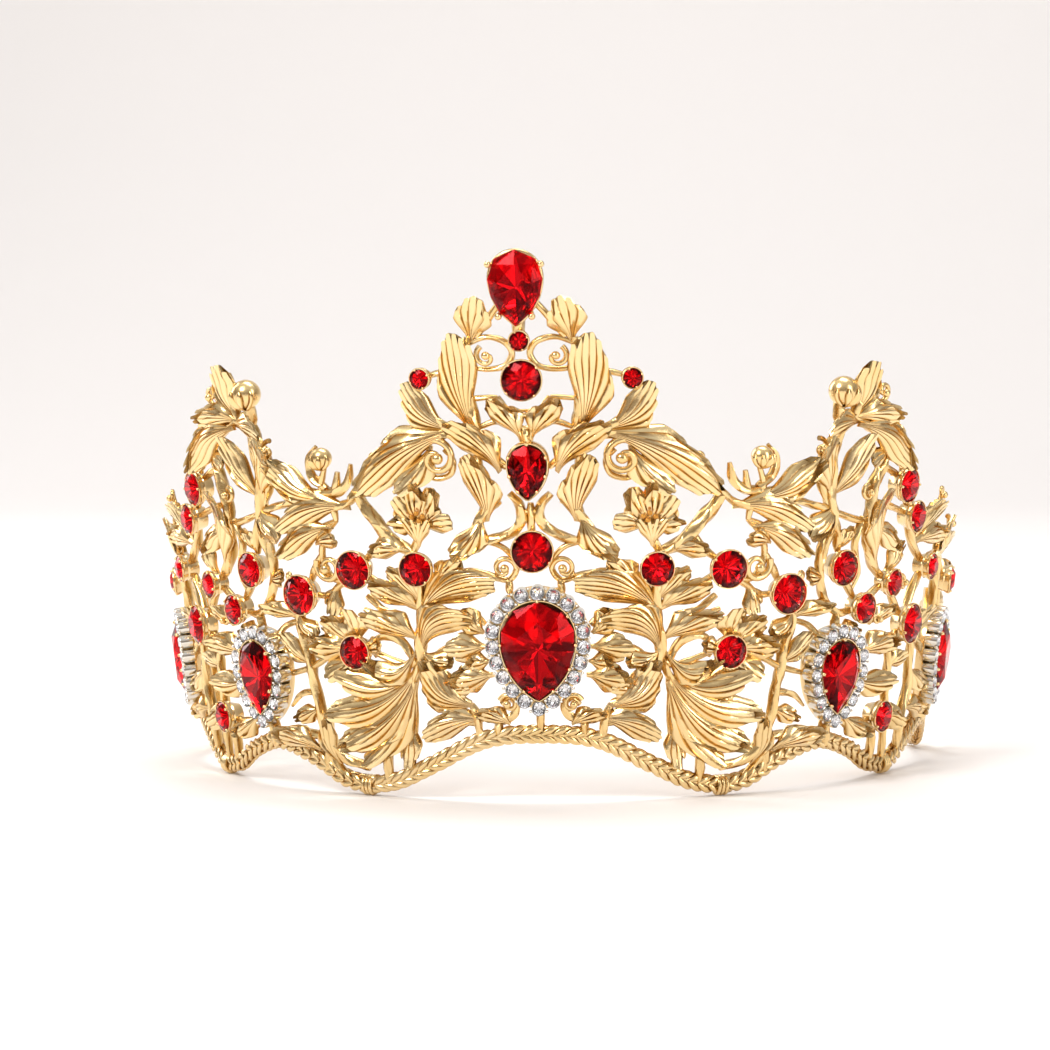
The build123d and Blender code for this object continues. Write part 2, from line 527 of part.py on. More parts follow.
both = (1, -1)
lilies = [leaf_group(LILY_PETALS, [hand]) for hand in both]
rosettes = [leaf_group(ROSETTE_PETALS, [hand], back=LEAF_FRONT, front=PETAL_FRONT) for hand in both]
acanthus = leaf_group(ACANTHUS_LEAVES, [1])
lilies_and_acanthus = lilies + [acanthus, mirror(acanthus, about=Plane.YZ)]
peak_leaves = leaf_group(PEAK_LEAVES, [1])
side_leaves = leaf_group(SIDE_LEAVES, [1], [acanthus, peak_leaves])
write("crest_leaves", leaf_group(CREST_LEAVES, both, lilies_and_acanthus))
write("medallion_leaves", leaf_group(MEDALLION_LEAVES, both, lilies_and_acanthus))
write("right_lily", lilies[0])
write("left_lily", lilies[1])
write_pair("acanthus", acanthus)
write("right_rosette", rosettes[0])
write("left_rosette", rosettes[1])
write_pair("side_leaves", side_leaves)
write_pair("peak_leaves", peak_leaves)
write_pair("end_leaves", leaf_group(END_LEAVES, [1], [side_leaves]))

# End posts with eyelets for hair pins or a ribbon
with BuildPart() as end_post:
    add(wall_sector(END_JOINT, END_JOINT + POST_WIDTH, -1, 1, foot=-BAND_SIZE / 2, top=POST_TOP))
    with Locations(*[wall_plane(EYELET_CENTRE, h) for h in EYELET_HEIGHTS]):
        Cylinder(EYELET_OUTER, EYELET_DEPTH)
        Cylinder(EYELET_BORE, 4 * EYELET_DEPTH, mode=Mode.SUBTRACT)
write_pair("end_post", end_post.part)


def round_settings(places):
    """Collets and stones of round stones on the right or the middle, with any mirror images."""
    collets, stones = [], []
    for s, h, diameter in places:
        outline = round_outline(diameter)
        facets = 16 if diameter > 4 else 10
        seat = wall_plane(s, h).location
        collets.append(seat * collet(outline, COLLET_FRONT))
        stones.append(seat * cut_stone(outline, diameter, facets, COLLET_FRONT))
    return collets, stones


def gather(parts):
    """Separate solids held together as one sub-part."""
    with BuildPart(mode=Mode.PRIVATE) as group:
        add(parts)
    return group.part


crest_collets, crest_stones = round_settings(CREST_ROUNDS)
write("crest_collets", gather(crest_collets))
write("crest_stones", gather(crest_stones))
front_collets, front_stones = round_settings(both_sides(FRONT_ROUNDS))
write("front_collets", gather(front_collets))
write("front_stones", gather(front_stones))
for name, places in (("side", SIDE_ROUNDS), ("end", END_ROUNDS)):
    collets, stones = round_settings(places)
    write_pair(f"{name}_collets", gather(collets))
    write_pair(f"{name}_stones", gather(stones))

# Pear stone of the crest, in a closed collet
s, h, width, length = CREST_PEAR
seat = wall_plane(s, h).location
write("crest_pear_collet", seat * collet(pear_outline(width, length), COLLET_FRONT))
write("crest_pear_stone", seat * cut_stone(pear_outline(width, length), width, 18, COLLET_FRONT))

# Pear stone at the top, in an open basket with claws
s, h, width, length = TOP_PEAR
seat = wall_plane(s, h).location
stone_back = COLLET_FRONT - SEAT_DEPTH
with BuildPart() as top_basket:
    add(plug(grow(pear_outline(width, length), -BASKET_INSET), CAST_FRONT, stone_back))
    with BuildSketch(Plane.XY.offset(CAST_FRONT)):
        with Locations(*both_sides(CLAWS)):
            Circle(CLAW_SIZE / 2)
    extrude(amount=COLLET_FRONT + CLAW_HOOK - CAST_FRONT)
    with BuildSketch(Plane.XY.offset(CAST_FRONT)):
        for claw_x, claw_y in both_sides(CLAWS):
            with BuildLine():
                Line((claw_x * CLAW_INNER, claw_y * CLAW_INNER), (claw_x, claw_y))
            trace(line_width=CLAW_SIZE)
    extrude(amount=stone_back - CAST_FRONT)
write("top_pear_basket", seat * top_basket.part)
write("top_pear_stone", seat * cut_stone(pear_outline(width, length), width, 18, COLLET_FRONT))

# Medallions: a collet with a plate of halo cups round it, the halo stones and the pear stone
for name, (s, h, width, length, halo_count) in MEDALLIONS.items():
    pear = pear_outline(width, length)
    seat = wall_plane(s, h).location
    halo_seats = [(p.X, p.Y) for p in edge_points(grow(pear, HALO_OFFSET), halo_count)]
    with BuildPart() as mount:
        add(plug(grow(pear, HALO_OFFSET + HALO_RIM), CAST_FRONT, HALO_FRONT))
        add(plug(grow(pear, COLLET_LIP), CAST_FRONT, MEDALLION_FRONT))
        add(plug(pear, MEDALLION_FRONT - SEAT_DEPTH, MEDALLION_FRONT), mode=Mode.SUBTRACT)
        with BuildSketch(Plane.XY.offset(HALO_FRONT)):
            with Locations(*halo_seats):
                Circle(HALO_SIZE / 2)
        extrude(amount=-HALO_SEAT, mode=Mode.SUBTRACT)
    halo_stone = cut_stone(round_outline(HALO_SIZE), HALO_SIZE, 8, HALO_FRONT, depth=HALO_SEAT)
    with BuildPart() as halo_stones:
        with Locations(*halo_seats):
            add(halo_stone)
    stone = cut_stone(pear, width, 20, MEDALLION_FRONT)
    writer = write if s == 0 else write_pair
    writer(f"{name}_medallion_mount", seat * mount.part)
    writer(f"{name}_medallion_halo", seat * halo_stones.part)
    writer(f"{name}_medallion_stone", seat * stone)
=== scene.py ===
"""Looks of the baroque openwork crown: leaves, scrolls, a wheat braid and foil-backed stones.

Ornament is placed on the flared wall by s, the distance along it from the front, h, the height
above the braid's low centre line, and out, the distance in front of the wall, in millimetres.
"""
import bpy
from math import cos, hypot, pi, radians, sin, sqrt, tan
from mathutils import Matrix, Vector, noise


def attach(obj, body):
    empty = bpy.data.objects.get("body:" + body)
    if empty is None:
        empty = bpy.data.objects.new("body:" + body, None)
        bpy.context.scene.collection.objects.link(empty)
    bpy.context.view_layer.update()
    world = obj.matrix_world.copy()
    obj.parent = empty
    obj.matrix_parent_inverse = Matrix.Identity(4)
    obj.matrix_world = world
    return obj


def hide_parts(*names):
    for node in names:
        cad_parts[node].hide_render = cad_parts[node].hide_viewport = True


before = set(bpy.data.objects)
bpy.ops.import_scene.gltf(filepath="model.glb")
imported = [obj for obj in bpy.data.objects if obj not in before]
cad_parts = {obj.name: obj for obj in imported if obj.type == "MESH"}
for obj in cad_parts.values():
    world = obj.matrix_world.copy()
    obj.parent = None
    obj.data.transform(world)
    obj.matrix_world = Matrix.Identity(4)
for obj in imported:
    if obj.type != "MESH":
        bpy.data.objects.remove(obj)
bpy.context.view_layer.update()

MM = 0.001
BASE_RADIUS = 68.0  # of the wall, at the braid's low centre line
FLARE = radians(7.0)
ARC_RADIUS = 72.0  # turns a distance along the wall into an angle
LEAN = 0.042  # how far the crest moves sideways for its height
LEAN_FROM = 20.0  # the height at which the lean starts
LEAN_SPREAD = 33.5  # the distance from the front at which the lean has faded out
BAND_SIZE = 2.6
JOINTS = (-77.0, -33.5, 33.5, 77.0)  # places of the braid's joints
CENTRE_END, SIDE_END = 33.4, 77  # where the stems of the centre and side castings end
CREASE_ANGLE = radians(50)  # an edge sharper than this isn't smoothed

FLUTED_WIDTH = 1.2  # stems from this width up are fluted
STEM_OUT = 0.35  # how far a stem's middle line is in front of the wall
BLADE = 0.55  # thickness of a leaf
STRAIGHT_BOW = 0.25  # a leaf with less bow than this has equal sides
FULL_CURL_LENGTH = 11  # leaves shorter than this curl less

GRAIN_PITCH, GRAIN_LENGTH = 2.0, 3.3  # of the wheat braid
GIRDLE = 0.12  # thickness of a stone at its rim
SETTING_BACK = -0.7
COLLET_FRONT, BASKET_FRONT, MEDALLION_FRONT = 2.7, 2.8, 3.2
HALO_SIZE, HALO_OFFSET, HALO_FRONT = 2.3, 1.45, 3.1
PEAR_TURN = pi / 2  # the first facet corner and claw of a pear stone are at its round end

# The band's centre line, as (s, h), over the front, side and end arches
BAND_ARCHES = [
    [
        (-33.5, 0), (-27, 1.2), (-20, 4.3), (-10, 8.9), (0, 9.9),
        (10, 8.9), (20, 4.3), (27, 1.2), (33.5, 0),
    ],
    [(33.5, 0), (39, 0.9), (46, 4.2), (55, 6.4), (64, 4.2), (71, 0.9), (77, 0)],
    [(77, 0), (82, 0.9), (89, 4.2), (98, 6.4), (107, 4.2), (114, 0.9), (119, 0)],
]

# Stones: round ones as (s, h, diameter), pear ones as (s, h, width, length)
CREST_ROUNDS = [(0, 77.6, 3.1), (0, 71, 6.6), (0, 42, 6.8)]
FRONT_ROUNDS = [(16.5, 71.3, 3.2), (20, 38.8, 5.6), (32, 38.4, 6.4), (33, 24, 5.6)]
SIDE_ROUNDS = [
    (43.8, 33.6, 6.8), (55.7, 37.5, 6.0), (62, 30, 5.2), (70, 34, 4.6), (71.7, 51.4, 6.0),
    (75.9, 45.6, 5.4), (71, 9.7, 5.4),
]
END_ROUNDS = [(78.3, 26, 7.0), (85, 36, 4.6), (106, 32, 5.0), (113, 19.5, 5.0)]
TOP_PEAR = (0, 86.4, 9.4, 13.0)
CREST_PEAR = (0, 55.5, 6.6, 9.4)
MEDALLIONS = {
    "centre": (0, 25, 12.8, 17.2, 20),
    "side": (56.3, 18.3, 9.2, 13.2, 16),
    "end": (98, 18.3, 9.2, 13.2, 16),
}

# Stems of the castings, as (width, points); each is on both sides of the front
STEMS = [
    # crest
    (0.9, [(8.4, 76.8), (5.5, 78), (2.6, 77.3), (1.4, 75.3), (2.6, 73.2), (5.5, 72.6), (8.8, 73)]),
    (1.6, [(7.8, 62.2), (8.6, 66), (9.3, 72), (8.4, 78)]),
    (1.0, [(6.9, 78), (5, 80.8), (3, 83.4), (1, 85)]),
    (0.9, [(0.8, 61.6), (4.2, 63.8), (8, 62.6)]),
    (0.8, [(4.2, 68), (9, 67.6)]),
    (1.2, [(0.4, 60), (0.9, 62), (2.6, 65), (4.2, 68)]),
    (0.9, [(9, 72.2), (12.8, 72.2), (16.5, 71.3)]),
    (1.2, [(8, 62.6), (13, 63), (16.4, 65.6), (18.2, 69), (16.5, 71.3)]),
    (1.4, [(3.4, 56), (5.4, 57.6), (8.6, 60.2), (12, 61.7), (16, 61), (21, 57.6), (31, 51.6)]),
    (0.9, [(16, 61), (18.3, 59), (18.3, 56), (16, 54.2), (13.2, 54.8), (12.4, 57.2), (14, 59)]),
    (1.2, [(8, 62.6), (9.4, 61.6), (11, 61.4)]),
    (1.4, [(8.4, 47.4), (7.6, 50), (8.2, 54.5), (8.4, 60)]),
    (1.4, [(3.4, 51.6), (1.8, 49.6), (1.6, 47), (3.6, 44.8), (7, 43.6), (10.4, 43.4)]),
    (1.4, [(5, 50.4), (6.6, 49.4), (8.4, 47.4), (10.2, 44.2), (12.6, 40.8), (14, 38)]),
    # scrolls and leaves round the great stone
    (0.9, [(8.8, 43.4), (5.5, 42.6), (3.6, 40.8), (3, 38.6), (4.3, 36.8), (6.2, 37.2), (6.2, 39)]),
    (1.3, [(5.8, 37), (12, 38), (17, 35.6), (20.4, 30.4)]),
    (1.1, [(4.3, 36.8), (4.5, 34.4)]),
    (1.5, [(20.4, 30.4), (21.2, 26.5), (20.8, 22.5), (19.4, 19), (16.5, 16.8), (12.4, 15.2)]),
    (1.2, [(20.8, 23.5), (19.6, 28.2), (15.5, 30.6), (11.2, 30.6), (9, 29)]),
    (1.0, [(8.6, 25.2), (14, 25.2), (17.4, 24.2), (20, 21)]),
    (1.1, [(8, 20.3), (13.5, 20), (17, 17.2)]),
    (1.2, [
        (6.9, 15.2), (5.6, 16.4), (4.3, 15.4), (4.8, 13.4), (7.6, 12.4), (10.8, 13.2), (12.4, 15.2),
    ]),
    (1.3, [(7.6, 12.4), (7.7, 9.6)]),
    (1.2, [(12.4, 15.2), (11.4, 12.6), (10.8, 9)]),
    (1.0, [(11.2, 11.6), (15, 12), (20.4, 10)]),
    # stems beside the great leaves
    (1.2, [(19.3, 45.8), (20.2, 43), (21.6, 40.4)]),
    (1.8, [(20.8, 41.2), (23.5, 42.4), (26.5, 45), (29.3, 48.4), (31.2, 51.6)]),
    (1.1, [(26.2, 44.8), (28.3, 41.8), (31, 39.6)]),
    (1.3, [(20, 37.4), (20.4, 33.5), (20.4, 30)]),
    (1.1, [(20.6, 31.4), (24.5, 33.4), (28.5, 36), (31, 37.6)]),
    (1.1, [(21.2, 26.3), (26, 29), (31.6, 31.2)]),
    (1.1, [(21, 23), (23.4, 21.7), (26, 22.2), (31, 24)]),
    (1.2, [(21.2, 24), (22.6, 20), (26, 16), (32.6, 13.4)]),
    (1.2, [(22.4, 21), (23.4, 16), (26, 11.4), (32.6, 7.2)]),
    (1.0, [(22.8, 19), (23, 12), (23.8, 7), (24.2, 2)]),
    (1.4, [(29, 9), (29, 0.6)]),
    (0.9, [(23.2, 13), (26, 8), (32.6, 5.4)]),
    # side panels
    (1.1, [(33, 37), (36.4, 35.2), (38.8, 33.4), (42, 33.4)]),
    (1.0, [
        (36, 46.5), (38.8, 43.6), (39.6, 40), (38, 36.6), (35.2, 36.4), (34.4, 38.4), (36, 39.6),
    ]),
    (1.1, [(39.4, 41), (41.4, 38), (43, 35)]),
    (1.2, [(31.2, 51.4), (34, 49.4), (40, 48.6), (44, 49.6), (50, 48.4), (53.4, 47.4)]),
    (1.0, [(36, 46.5), (36.6, 49), (38.6, 52), (37.5, 56)]),
    (1.1, [(38, 51), (35.8, 51.8), (35, 55)]),
    (1.2, [(38, 51), (43, 52), (48.8, 55.6)]),
    (1.1, [(36, 46.5), (41, 44.4), (46.6, 41.4)]),
    (1.8, [(52, 39), (53.6, 46), (52.6, 51), (52.6, 57), (53.8, 62.4), (57, 63.8)]),
    (1.6, [(53.8, 62.4), (53.2, 67)]),
    (1.4, [(57, 63.8), (58, 68), (58.8, 72)]),
    (1.1, [(57, 63.8), (62, 64.3), (66.5, 63.7)]),
    (1.4, [(57, 63.8), (62, 61.5), (66.6, 58.6), (71.5, 55)]),
    (1.1, [(53.4, 47.4), (59.5, 45.6), (63.4, 45.2)]),
    (1.6, [(66.4, 58.6), (65.6, 55), (63.8, 51), (63.4, 45), (64, 40.5), (66, 37), (69, 34.8)]),
    (1.1, [(65.6, 55), (71, 53)]),
    (1.1, [(64, 48.6), (69, 47.6), (75, 46)]),
    (1.2, [(53.4, 47.4), (51.8, 41), (51.8, 36), (53.4, 32), (57, 29.2), (61.4, 29.6)]),
    (1.2, [(55.7, 40), (55.2, 43.6), (53.4, 47.4)]),
    (1.1, [(57.5, 35.5), (61, 31.5)]),
    (1.2, [(57, 29.2), (56.5, 25.6)]),
    (1.5, [(45, 32), (46.2, 28.6), (45, 24), (44.4, 20), (43.2, 12.5), (42.2, 8), (42.6, 1.6)]),
    (1.0, [(46.2, 29), (50, 30.4), (53.6, 31.8)]),
    (1.0, [(46.2, 28.6), (50, 27.4), (53, 25)]),
    (1.0, [(35, 24.4), (41, 22), (44.6, 20.3), (51, 18.6)]),
    (1.2, [(38, 1), (42, 5.6), (41, 11)]),
    (1.4, [(42.3, 8), (48, 8.4), (54, 8.4)]),
    (1.6, [(56.3, 10.5), (56.3, 5.4)]),
    (1.2, [(62.4, 20.6), (68, 22.6), (73.5, 22.6), (77, 25)]),
    (1.1, [(62.4, 16.4), (68, 15.8), (74.4, 16)]),
    (1.1, [(60, 10), (64, 8), (70, 9.4)]),
    (1.2, [(71, 8), (71.4, 0.4)]),
    (1.1, [(63.5, 30.6), (69, 33.6)]),
    (1.1, [(71, 33), (75.5, 28.6), (77, 27)]),
    (1.2, [(73.5, 22.6), (74.6, 18), (74.4, 14), (75.4, 8), (76.2, -0.6)]),
    (1.2, [(76.2, 44.4), (79, 40.6), (84.6, 36.6)]),
    # end panels
    (1.2, [(79.4, 28.5), (84.4, 35)]),
    (1.3, [(79, 40.6), (84, 42.4), (88.4, 47)]),
    (1.2, [(86, 36), (92, 37.6), (98, 36), (105, 32.6)]),
    (1.3, [(98, 25.5), (98, 31), (96.6, 36.2), (96.4, 41)]),
    (1.2, [(80, 25), (86, 22.4), (92.2, 19)]),
    (1.2, [(104, 18.6), (108.4, 20.6), (112, 20)]),
    (1.2, [(114, 18.5), (116.4, 12.6), (119, 10)]),
    (1.1, [(106, 31), (108.6, 25.4), (108.4, 20.6)]),
    (1.2, [(114, 20.5), (117, 23.4), (119, 25)]),
    (1.6, [(98, 10.5), (98, 5.6)]),
    (1.3, [(83.6, 23.4), (85, 14), (83, 7), (83, 1.4)]),
    (1.3, [(108.4, 20.6), (107.4, 12), (109.4, 3.4)]),
    (1.2, [(107, 32.4), (114, 30.4), (119, 25)]),
]
# Stems on the middle line, as (width, points)
MIDDLE_STEMS = [
    (1.6, [(0, 83), (0, 77)]),
    (1.6, [(0, 62.8), (0, 59)]),
    (1.2, [(0, 50), (0, 44)]),
    (0.9, [(-1.8, 48.4), (1.8, 48.4)]),
    (1.2, [(0, 16), (0, 10.5)]),
    (0.5, [(-2.9, 65.6), (2.9, 65.6)]),
]
# Rings of wire: (s, h, radius, width)
RINGS = [(0, 63.9, 1.1, 0.7)]
# Ball buds at stem ends: (s, h, diameter)
BUDS = [(53.4, 68.4, 5.2), (37.7, 57.4, 3.8)]

# Leaves as (root s, root h, tip s, tip h, width, bow, flutes). A positive bow is to the left of
# the way from root to tip, and the leaf is shorter on that side
CREST_LEAVES = [
    (8, 77.4, 6.4, 85.2, 5.4, 0, 5), (8.8, 62.4, 10.8, 79.2, 6.4, -0.7, 7),
    (1, 61.4, 5.2, 68.2, 4.4, 0.3, 4), (12.4, 62.4, 20, 70.4, 5, -1.5, 6),
    (4.6, 55.2, 12.8, 64.2, 5.4, 1.3, 6), (12.4, 62, 30.6, 51.6, 6.8, 1.7, 7),
    (16.2, 59.8, 22.6, 51.4, 4.6, -1, 4), (7.4, 46.8, 9.6, 59, 5.2, 0.9, 6),
    (8.2, 47.4, 13.4, 40.2, 4.6, -0.7, 5),
]
MEDALLION_LEAVES = [
    (20.8, 30.6, 6.2, 37, 6.2, -2.1, 8), (20.9, 23.4, 10.4, 30.6, 6, -3.6, 7),
    (9.2, 27.6, 13, 31.8, 4, -0.3, 4), (9.2, 25.2, 16.4, 25, 4.8, 0, 5),
    (8.4, 20.3, 15.8, 19.6, 4.8, 0, 5), (12, 15, 20.4, 22.6, 6, -2, 7),
    (10.4, 12.4, 21.2, 9.8, 5, 1.1, 6), (21, 31.8, 29.2, 36.6, 4.8, 0.3, 5),
    (21.4, 26.4, 31.2, 31, 4.8, 0.6, 5), (23.6, 11.6, 24.4, 3.4, 3.6, 0, 4),
    (20.4, 33, 25.2, 39.2, 4.2, 0.3, 5), (20.6, 24, 14.4, 22.4, 3.6, 0.6, 4),
    (17.4, 17.4, 12, 18, 3.2, 0, 4), (17, 36, 12.2, 40.6, 4, -0.4, 4),
    (5.4, 11.8, 11.4, 14.4, 3.2, 0.5, 4), (26.4, 16.4, 28.2, 9.6, 3.4, 0, 4),
    (22.6, 41.6, 29, 42, 3.8, 0.5, 4), (8.4, 22.8, 12.6, 22.4, 2.8, 0, 3),
]
ACANTHUS_LEAVES = [
    (22.4, 20, 37.4, 19.6, 5.2, -2.4, 5), (22.2, 20.6, 39.8, 12.6, 6.4, -2.8, 6),
    (22.4, 19, 37.6, 6.8, 6.2, -2.6, 6), (22.6, 17.6, 33.2, 3.4, 4.6, -2, 4),
    (21.8, 24.4, 31.8, 22.6, 4, -3.4, 4),
]
LILY_PETALS = [
    (19.3, 45.8, 12.9, 47.4, 4.2, -0.4, 4), (19.2, 46, 15.2, 52.6, 4.4, 0.3, 4),
    (19.3, 46, 19.2, 53.8, 4.2, 0, 4), (19.6, 45.8, 23.4, 51.2, 4.2, -0.3, 4),
    (19.5, 45.6, 24.6, 46.6, 3.4, 0.2, 3),
]
ROSETTE_PETALS = [
    (33.4, 25.6, 34.6, 31.6, 4.6, 0.4, 4), (34, 25, 39.4, 30, 5.4, 0.3, 5),
    (34.6, 24, 42.6, 24.8, 5.4, 0.4, 5), (34.2, 23, 40, 18.6, 5, -0.3, 4),
    (33.2, 22.4, 33.4, 17.2, 3.6, 0, 4), (31.8, 24.2, 27.8, 25.6, 3, 0, 3),
]
SIDE_LEAVES = [
    (33, 48.8, 47.6, 45, 5.2, 1.8, 6), (36.8, 45.4, 48, 40.4, 4.6, 1, 5),
    (36.8, 50, 49.4, 56.8, 5.2, -1.2, 6), (36.6, 35.2, 38, 29.8, 3.4, 0.3, 4),
    (46.2, 29.2, 54.2, 31.2, 3, 0.3, 3), (43.6, 5.8, 54.4, 8.6, 4.2, 0.8, 5),
    (39.4, 3.4, 41, 12, 3.6, -1.4, 4), (53.8, 48.4, 47.6, 42.4, 5, 0.4, 5),
    (52.4, 50.6, 50.4, 61, 4.4, 0.9, 5), (53, 50, 60.4, 61, 4.6, -0.6, 5),
    (55.6, 40.6, 57.8, 44.8, 3, 0, 4), (62.8, 21.4, 74, 23.6, 4.6, 0.8, 5),
    (62.6, 16.8, 74.6, 15.8, 4.4, -0.6, 5), (60.8, 10.6, 68.4, 6.8, 3.8, -0.7, 4),
    (65.9, 37.2, 65.9, 52, 4.2, 1.8, 6), (73.6, 9.6, 81.4, 7.4, 4, 0.3, 4),
    (64.6, 44, 71.4, 40, 3.6, 0.5, 4), (46, 30, 41, 25.4, 3.6, 0.4, 4),
    (44.6, 21, 50, 26.4, 3.2, -0.4, 4), (43.4, 13, 48.6, 11, 3, 0, 4),
    (40.4, 42.4, 35, 43.6, 3.4, -0.5, 4), (74.6, 18, 79.6, 20.4, 3.6, 0.4, 4),
    (69.6, 35.6, 72.6, 41.4, 3.4, -0.4, 4), (52, 36, 47.4, 36.6, 3, 0.3, 4),
    (66.4, 58.6, 61.4, 55.2, 3.4, 0.4, 4), (66, 26.6, 72.4, 29.6, 3.4, 0.5, 4),
    (57, 26.6, 61.8, 26, 2.8, 0, 3),
]
PEAK_LEAVES = [
    (57, 63.8, 59, 73.8, 5.4, -0.7, 5), (57, 63.6, 67.4, 64.4, 4.4, 0.7, 5),
    (57.8, 62.4, 72, 54.6, 5.4, 1.8, 6), (58.4, 62.8, 49.4, 61.4, 4, -0.8, 5),
]
END_LEAVES = [
    (79.6, 40.8, 89, 47.8, 4.8, 1, 5), (80.4, 40.4, 91.4, 42.2, 4.2, 0.7, 5),
    (96.4, 36.6, 96.4, 45, 4.6, 0.4, 5), (96.8, 36.6, 103.6, 41, 4.2, 0.7, 4),
    (96, 36.8, 90.4, 40.8, 3.8, 0, 4), (107, 32.6, 116, 31.8, 4.2, 0.8, 5),
    (83.8, 23, 90.8, 28.2, 4, 0.6, 4), (84.6, 17, 91.6, 13.2, 4, -0.7, 4),
    (84, 9.6, 93, 8.2, 3.8, 0.7, 4), (108.2, 20.4, 104.4, 27, 3.8, -0.4, 4),
    (107.6, 12.6, 115.6, 15, 4.2, 0.7, 4), (108, 8.4, 102.8, 10.4, 3.4, 0, 3),
    (109, 26.8, 115.6, 26.2, 3.8, 0.5, 4), (110, 5, 118, 7.6, 3.6, 0.6, 4),
]
# Small scrolls, as (s, h, outer radius, start angle in degrees, turns)
SCROLLS = [
    (5.4, 74.8, 1.9, 60, -0.9), (15.2, 57.6, 3.2, 80, 1.25), (5.0, 38.8, 2.1, 180, -1.1),
    (5.5, 15.4, 1.8, 20, 1.0), (37.8, 38.6, 2.9, 20, -1.2), (26.6, 57.8, 1.4, 200, 1.0),
    (62.8, 68.2, 2.0, 250, 1.1), (49.2, 58.6, 1.7, 100, -1.1), (33.4, 15.8, 1.6, 20, 1.0),
    (89.6, 49.0, 1.8, 240, 1.1), (103.8, 42.4, 1.7, 120, -1.0), (61.6, 50.2, 1.5, 80, 1.0),
    (46.6, 36.6, 1.3, 200, 1.0), (75.4, 33.4, 1.4, 90, -1.0), (67.6, 27.4, 1.3, 10, 1.0),
]
# Stems that only the looks have: horns and hooks beside the buds and the great leaves
HOOKS = [
    (1.8, [(38.4, 51.4), (35.4, 51.6), (33, 53.2), (32.2, 56.4)]),
    (1.5, [(37.6, 52), (40.2, 54), (40.6, 57.2), (39, 59.4)]),
    (1.7, [(33, 3.2), (38.4, 4.6), (41.4, 8.4), (40.4, 12.6), (37.6, 13.8)]),
    (1.5, [(22.4, 22), (24.6, 25.8), (28.2, 26.6), (30.6, 24.8), (29.8, 22.8)]),
    (1.2, [(43, 16), (47.4, 15.4), (50.6, 13)]),
    (1.5, [(72.4, 55.2), (74, 50), (75.6, 47)]),
    (1.6, [(53.4, 61), (50.4, 57), (50.6, 52), (53, 48)]),
    (1.2, [(30.8, 33.6), (28, 31.4), (25, 31)]),
    (1.2, [(61.6, 46), (60, 41.4), (61.6, 36.6), (60.4, 33)]),
]


def wall(s, h, out=0.0):
    """The place on the wall at s and h, a distance out from it, in metres."""
    fade = max(0.0, 1 - (s / LEAN_SPREAD) ** 2)
    angle = (s - LEAN * max(0.0, h - LEAN_FROM) * fade) / ARC_RADIUS
    radius = BASE_RADIUS + h * tan(FLARE) + out * cos(FLARE)
    height = h + BAND_SIZE / 2 - out * sin(FLARE)
    return Vector((radius * sin(angle), -radius * cos(angle), height)) * MM


class Shape:
    """Collects closed shells, each with a painted shade mask from 0 in the creases, fully shaded,
    to 1 on the ridges, unshaded.
    """

    def __init__(self):
        self.points, self.shades, self.faces, self.finishes = [], [], [], []

    def skin(self, rings, shades):
        """A closed skin over rings of points, each the same length."""
        start, count = len(self.points), len(rings[0])
        for ring, tones in zip(rings, shades):
            self.points += ring
            self.shades += tones
        for i in range(len(rings) - 1):
            low = start + i * count
            for j in range(count):
                k = (j + 1) % count
                self.faces.append((low + j, low + k, low + count + k, low + count + j))
        last = start + (len(rings) - 1) * count
        self.faces.append(tuple(range(start + count - 1, start - 1, -1)))
        self.faces.append(tuple(range(last, last + count)))
        self.finishes += [0] * ((len(rings) - 1) * count + 2)

    def facets(self, points, faces, finishes):
        """Flat faces, each with its material's number."""
        start = len(self.points)
        self.points += points
        self.shades += [1.0] * len(points)
        self.faces += [tuple(start + i for i in face) for face in faces]
        self.finishes += finishes

    def make(self, name, slot, materials, nodes, smooth=True):
        """Turns what was collected into a piece that stands for the CAD nodes."""
        mesh = bpy.data.meshes.new(name)
        mesh.from_pydata(self.points, [], self.faces)
        mesh.update()
        for material in materials:
            mesh.materials.append(material)
        mesh.polygons.foreach_set("material_index", self.finishes)
        mesh.polygons.foreach_set("use_smooth", [smooth] * len(self.faces))
        if smooth:
            mesh.set_sharp_from_angle(angle=CREASE_ANGLE)
        # the painted shade mask, which metal() turns into painted crease shade
        shade = mesh.attributes.new("shade", "FLOAT", "POINT")
        shade.data.foreach_set("value", self.shades)
        piece = bpy.data.objects.new(name, mesh)
        bpy.context.scene.collection.objects.link(piece)
        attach(piece, "root")
        if nodes:
            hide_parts(*nodes)


def ease(x):
    """A smooth step from 0 to 1."""
    x = min(1.0, max(0.0, x))
    return x * x * (3 - 2 * x)


def ribbon(shape, path, widths, rise, back):
    """A half-round band along a path of (s, h, out); its section bulges outward by rise."""
    across_points = 7
    rings, shades = [], []
    for i, (s, h, out) in enumerate(path):
        before, after = path[max(0, i - 1)], path[min(len(path) - 1, i + 1)]
        ds, dh = after[0] - before[0], after[1] - before[1]
        run = hypot(ds, dh) or 1.0
        side = (-dh / run, ds / run)
        half = widths[i] / 2
        ring, tones = [], []
        for j in range(across_points):
            v = -1 + 2 * j / (across_points - 1)
            swell = sqrt(max(0.0, 1 - v * v))
            lift = rise * swell * min(1.0, half / 0.5)
            ring.append(wall(s + side[0] * v * half, h + side[1] * v * half, out + lift))
            # painted shade: lighter on the crown of the section, darker toward its edges
            tones.append(swell)
        for v in (0.75, -0.75):
            ring.append(wall(s + side[0] * v * half, h + side[1] * v * half, out - back))
            # painted shade on the back
            tones.append(0.25)
        rings.append(ring[::-1])
        shades.append(tones[::-1])
    shape.skin(rings, shades)


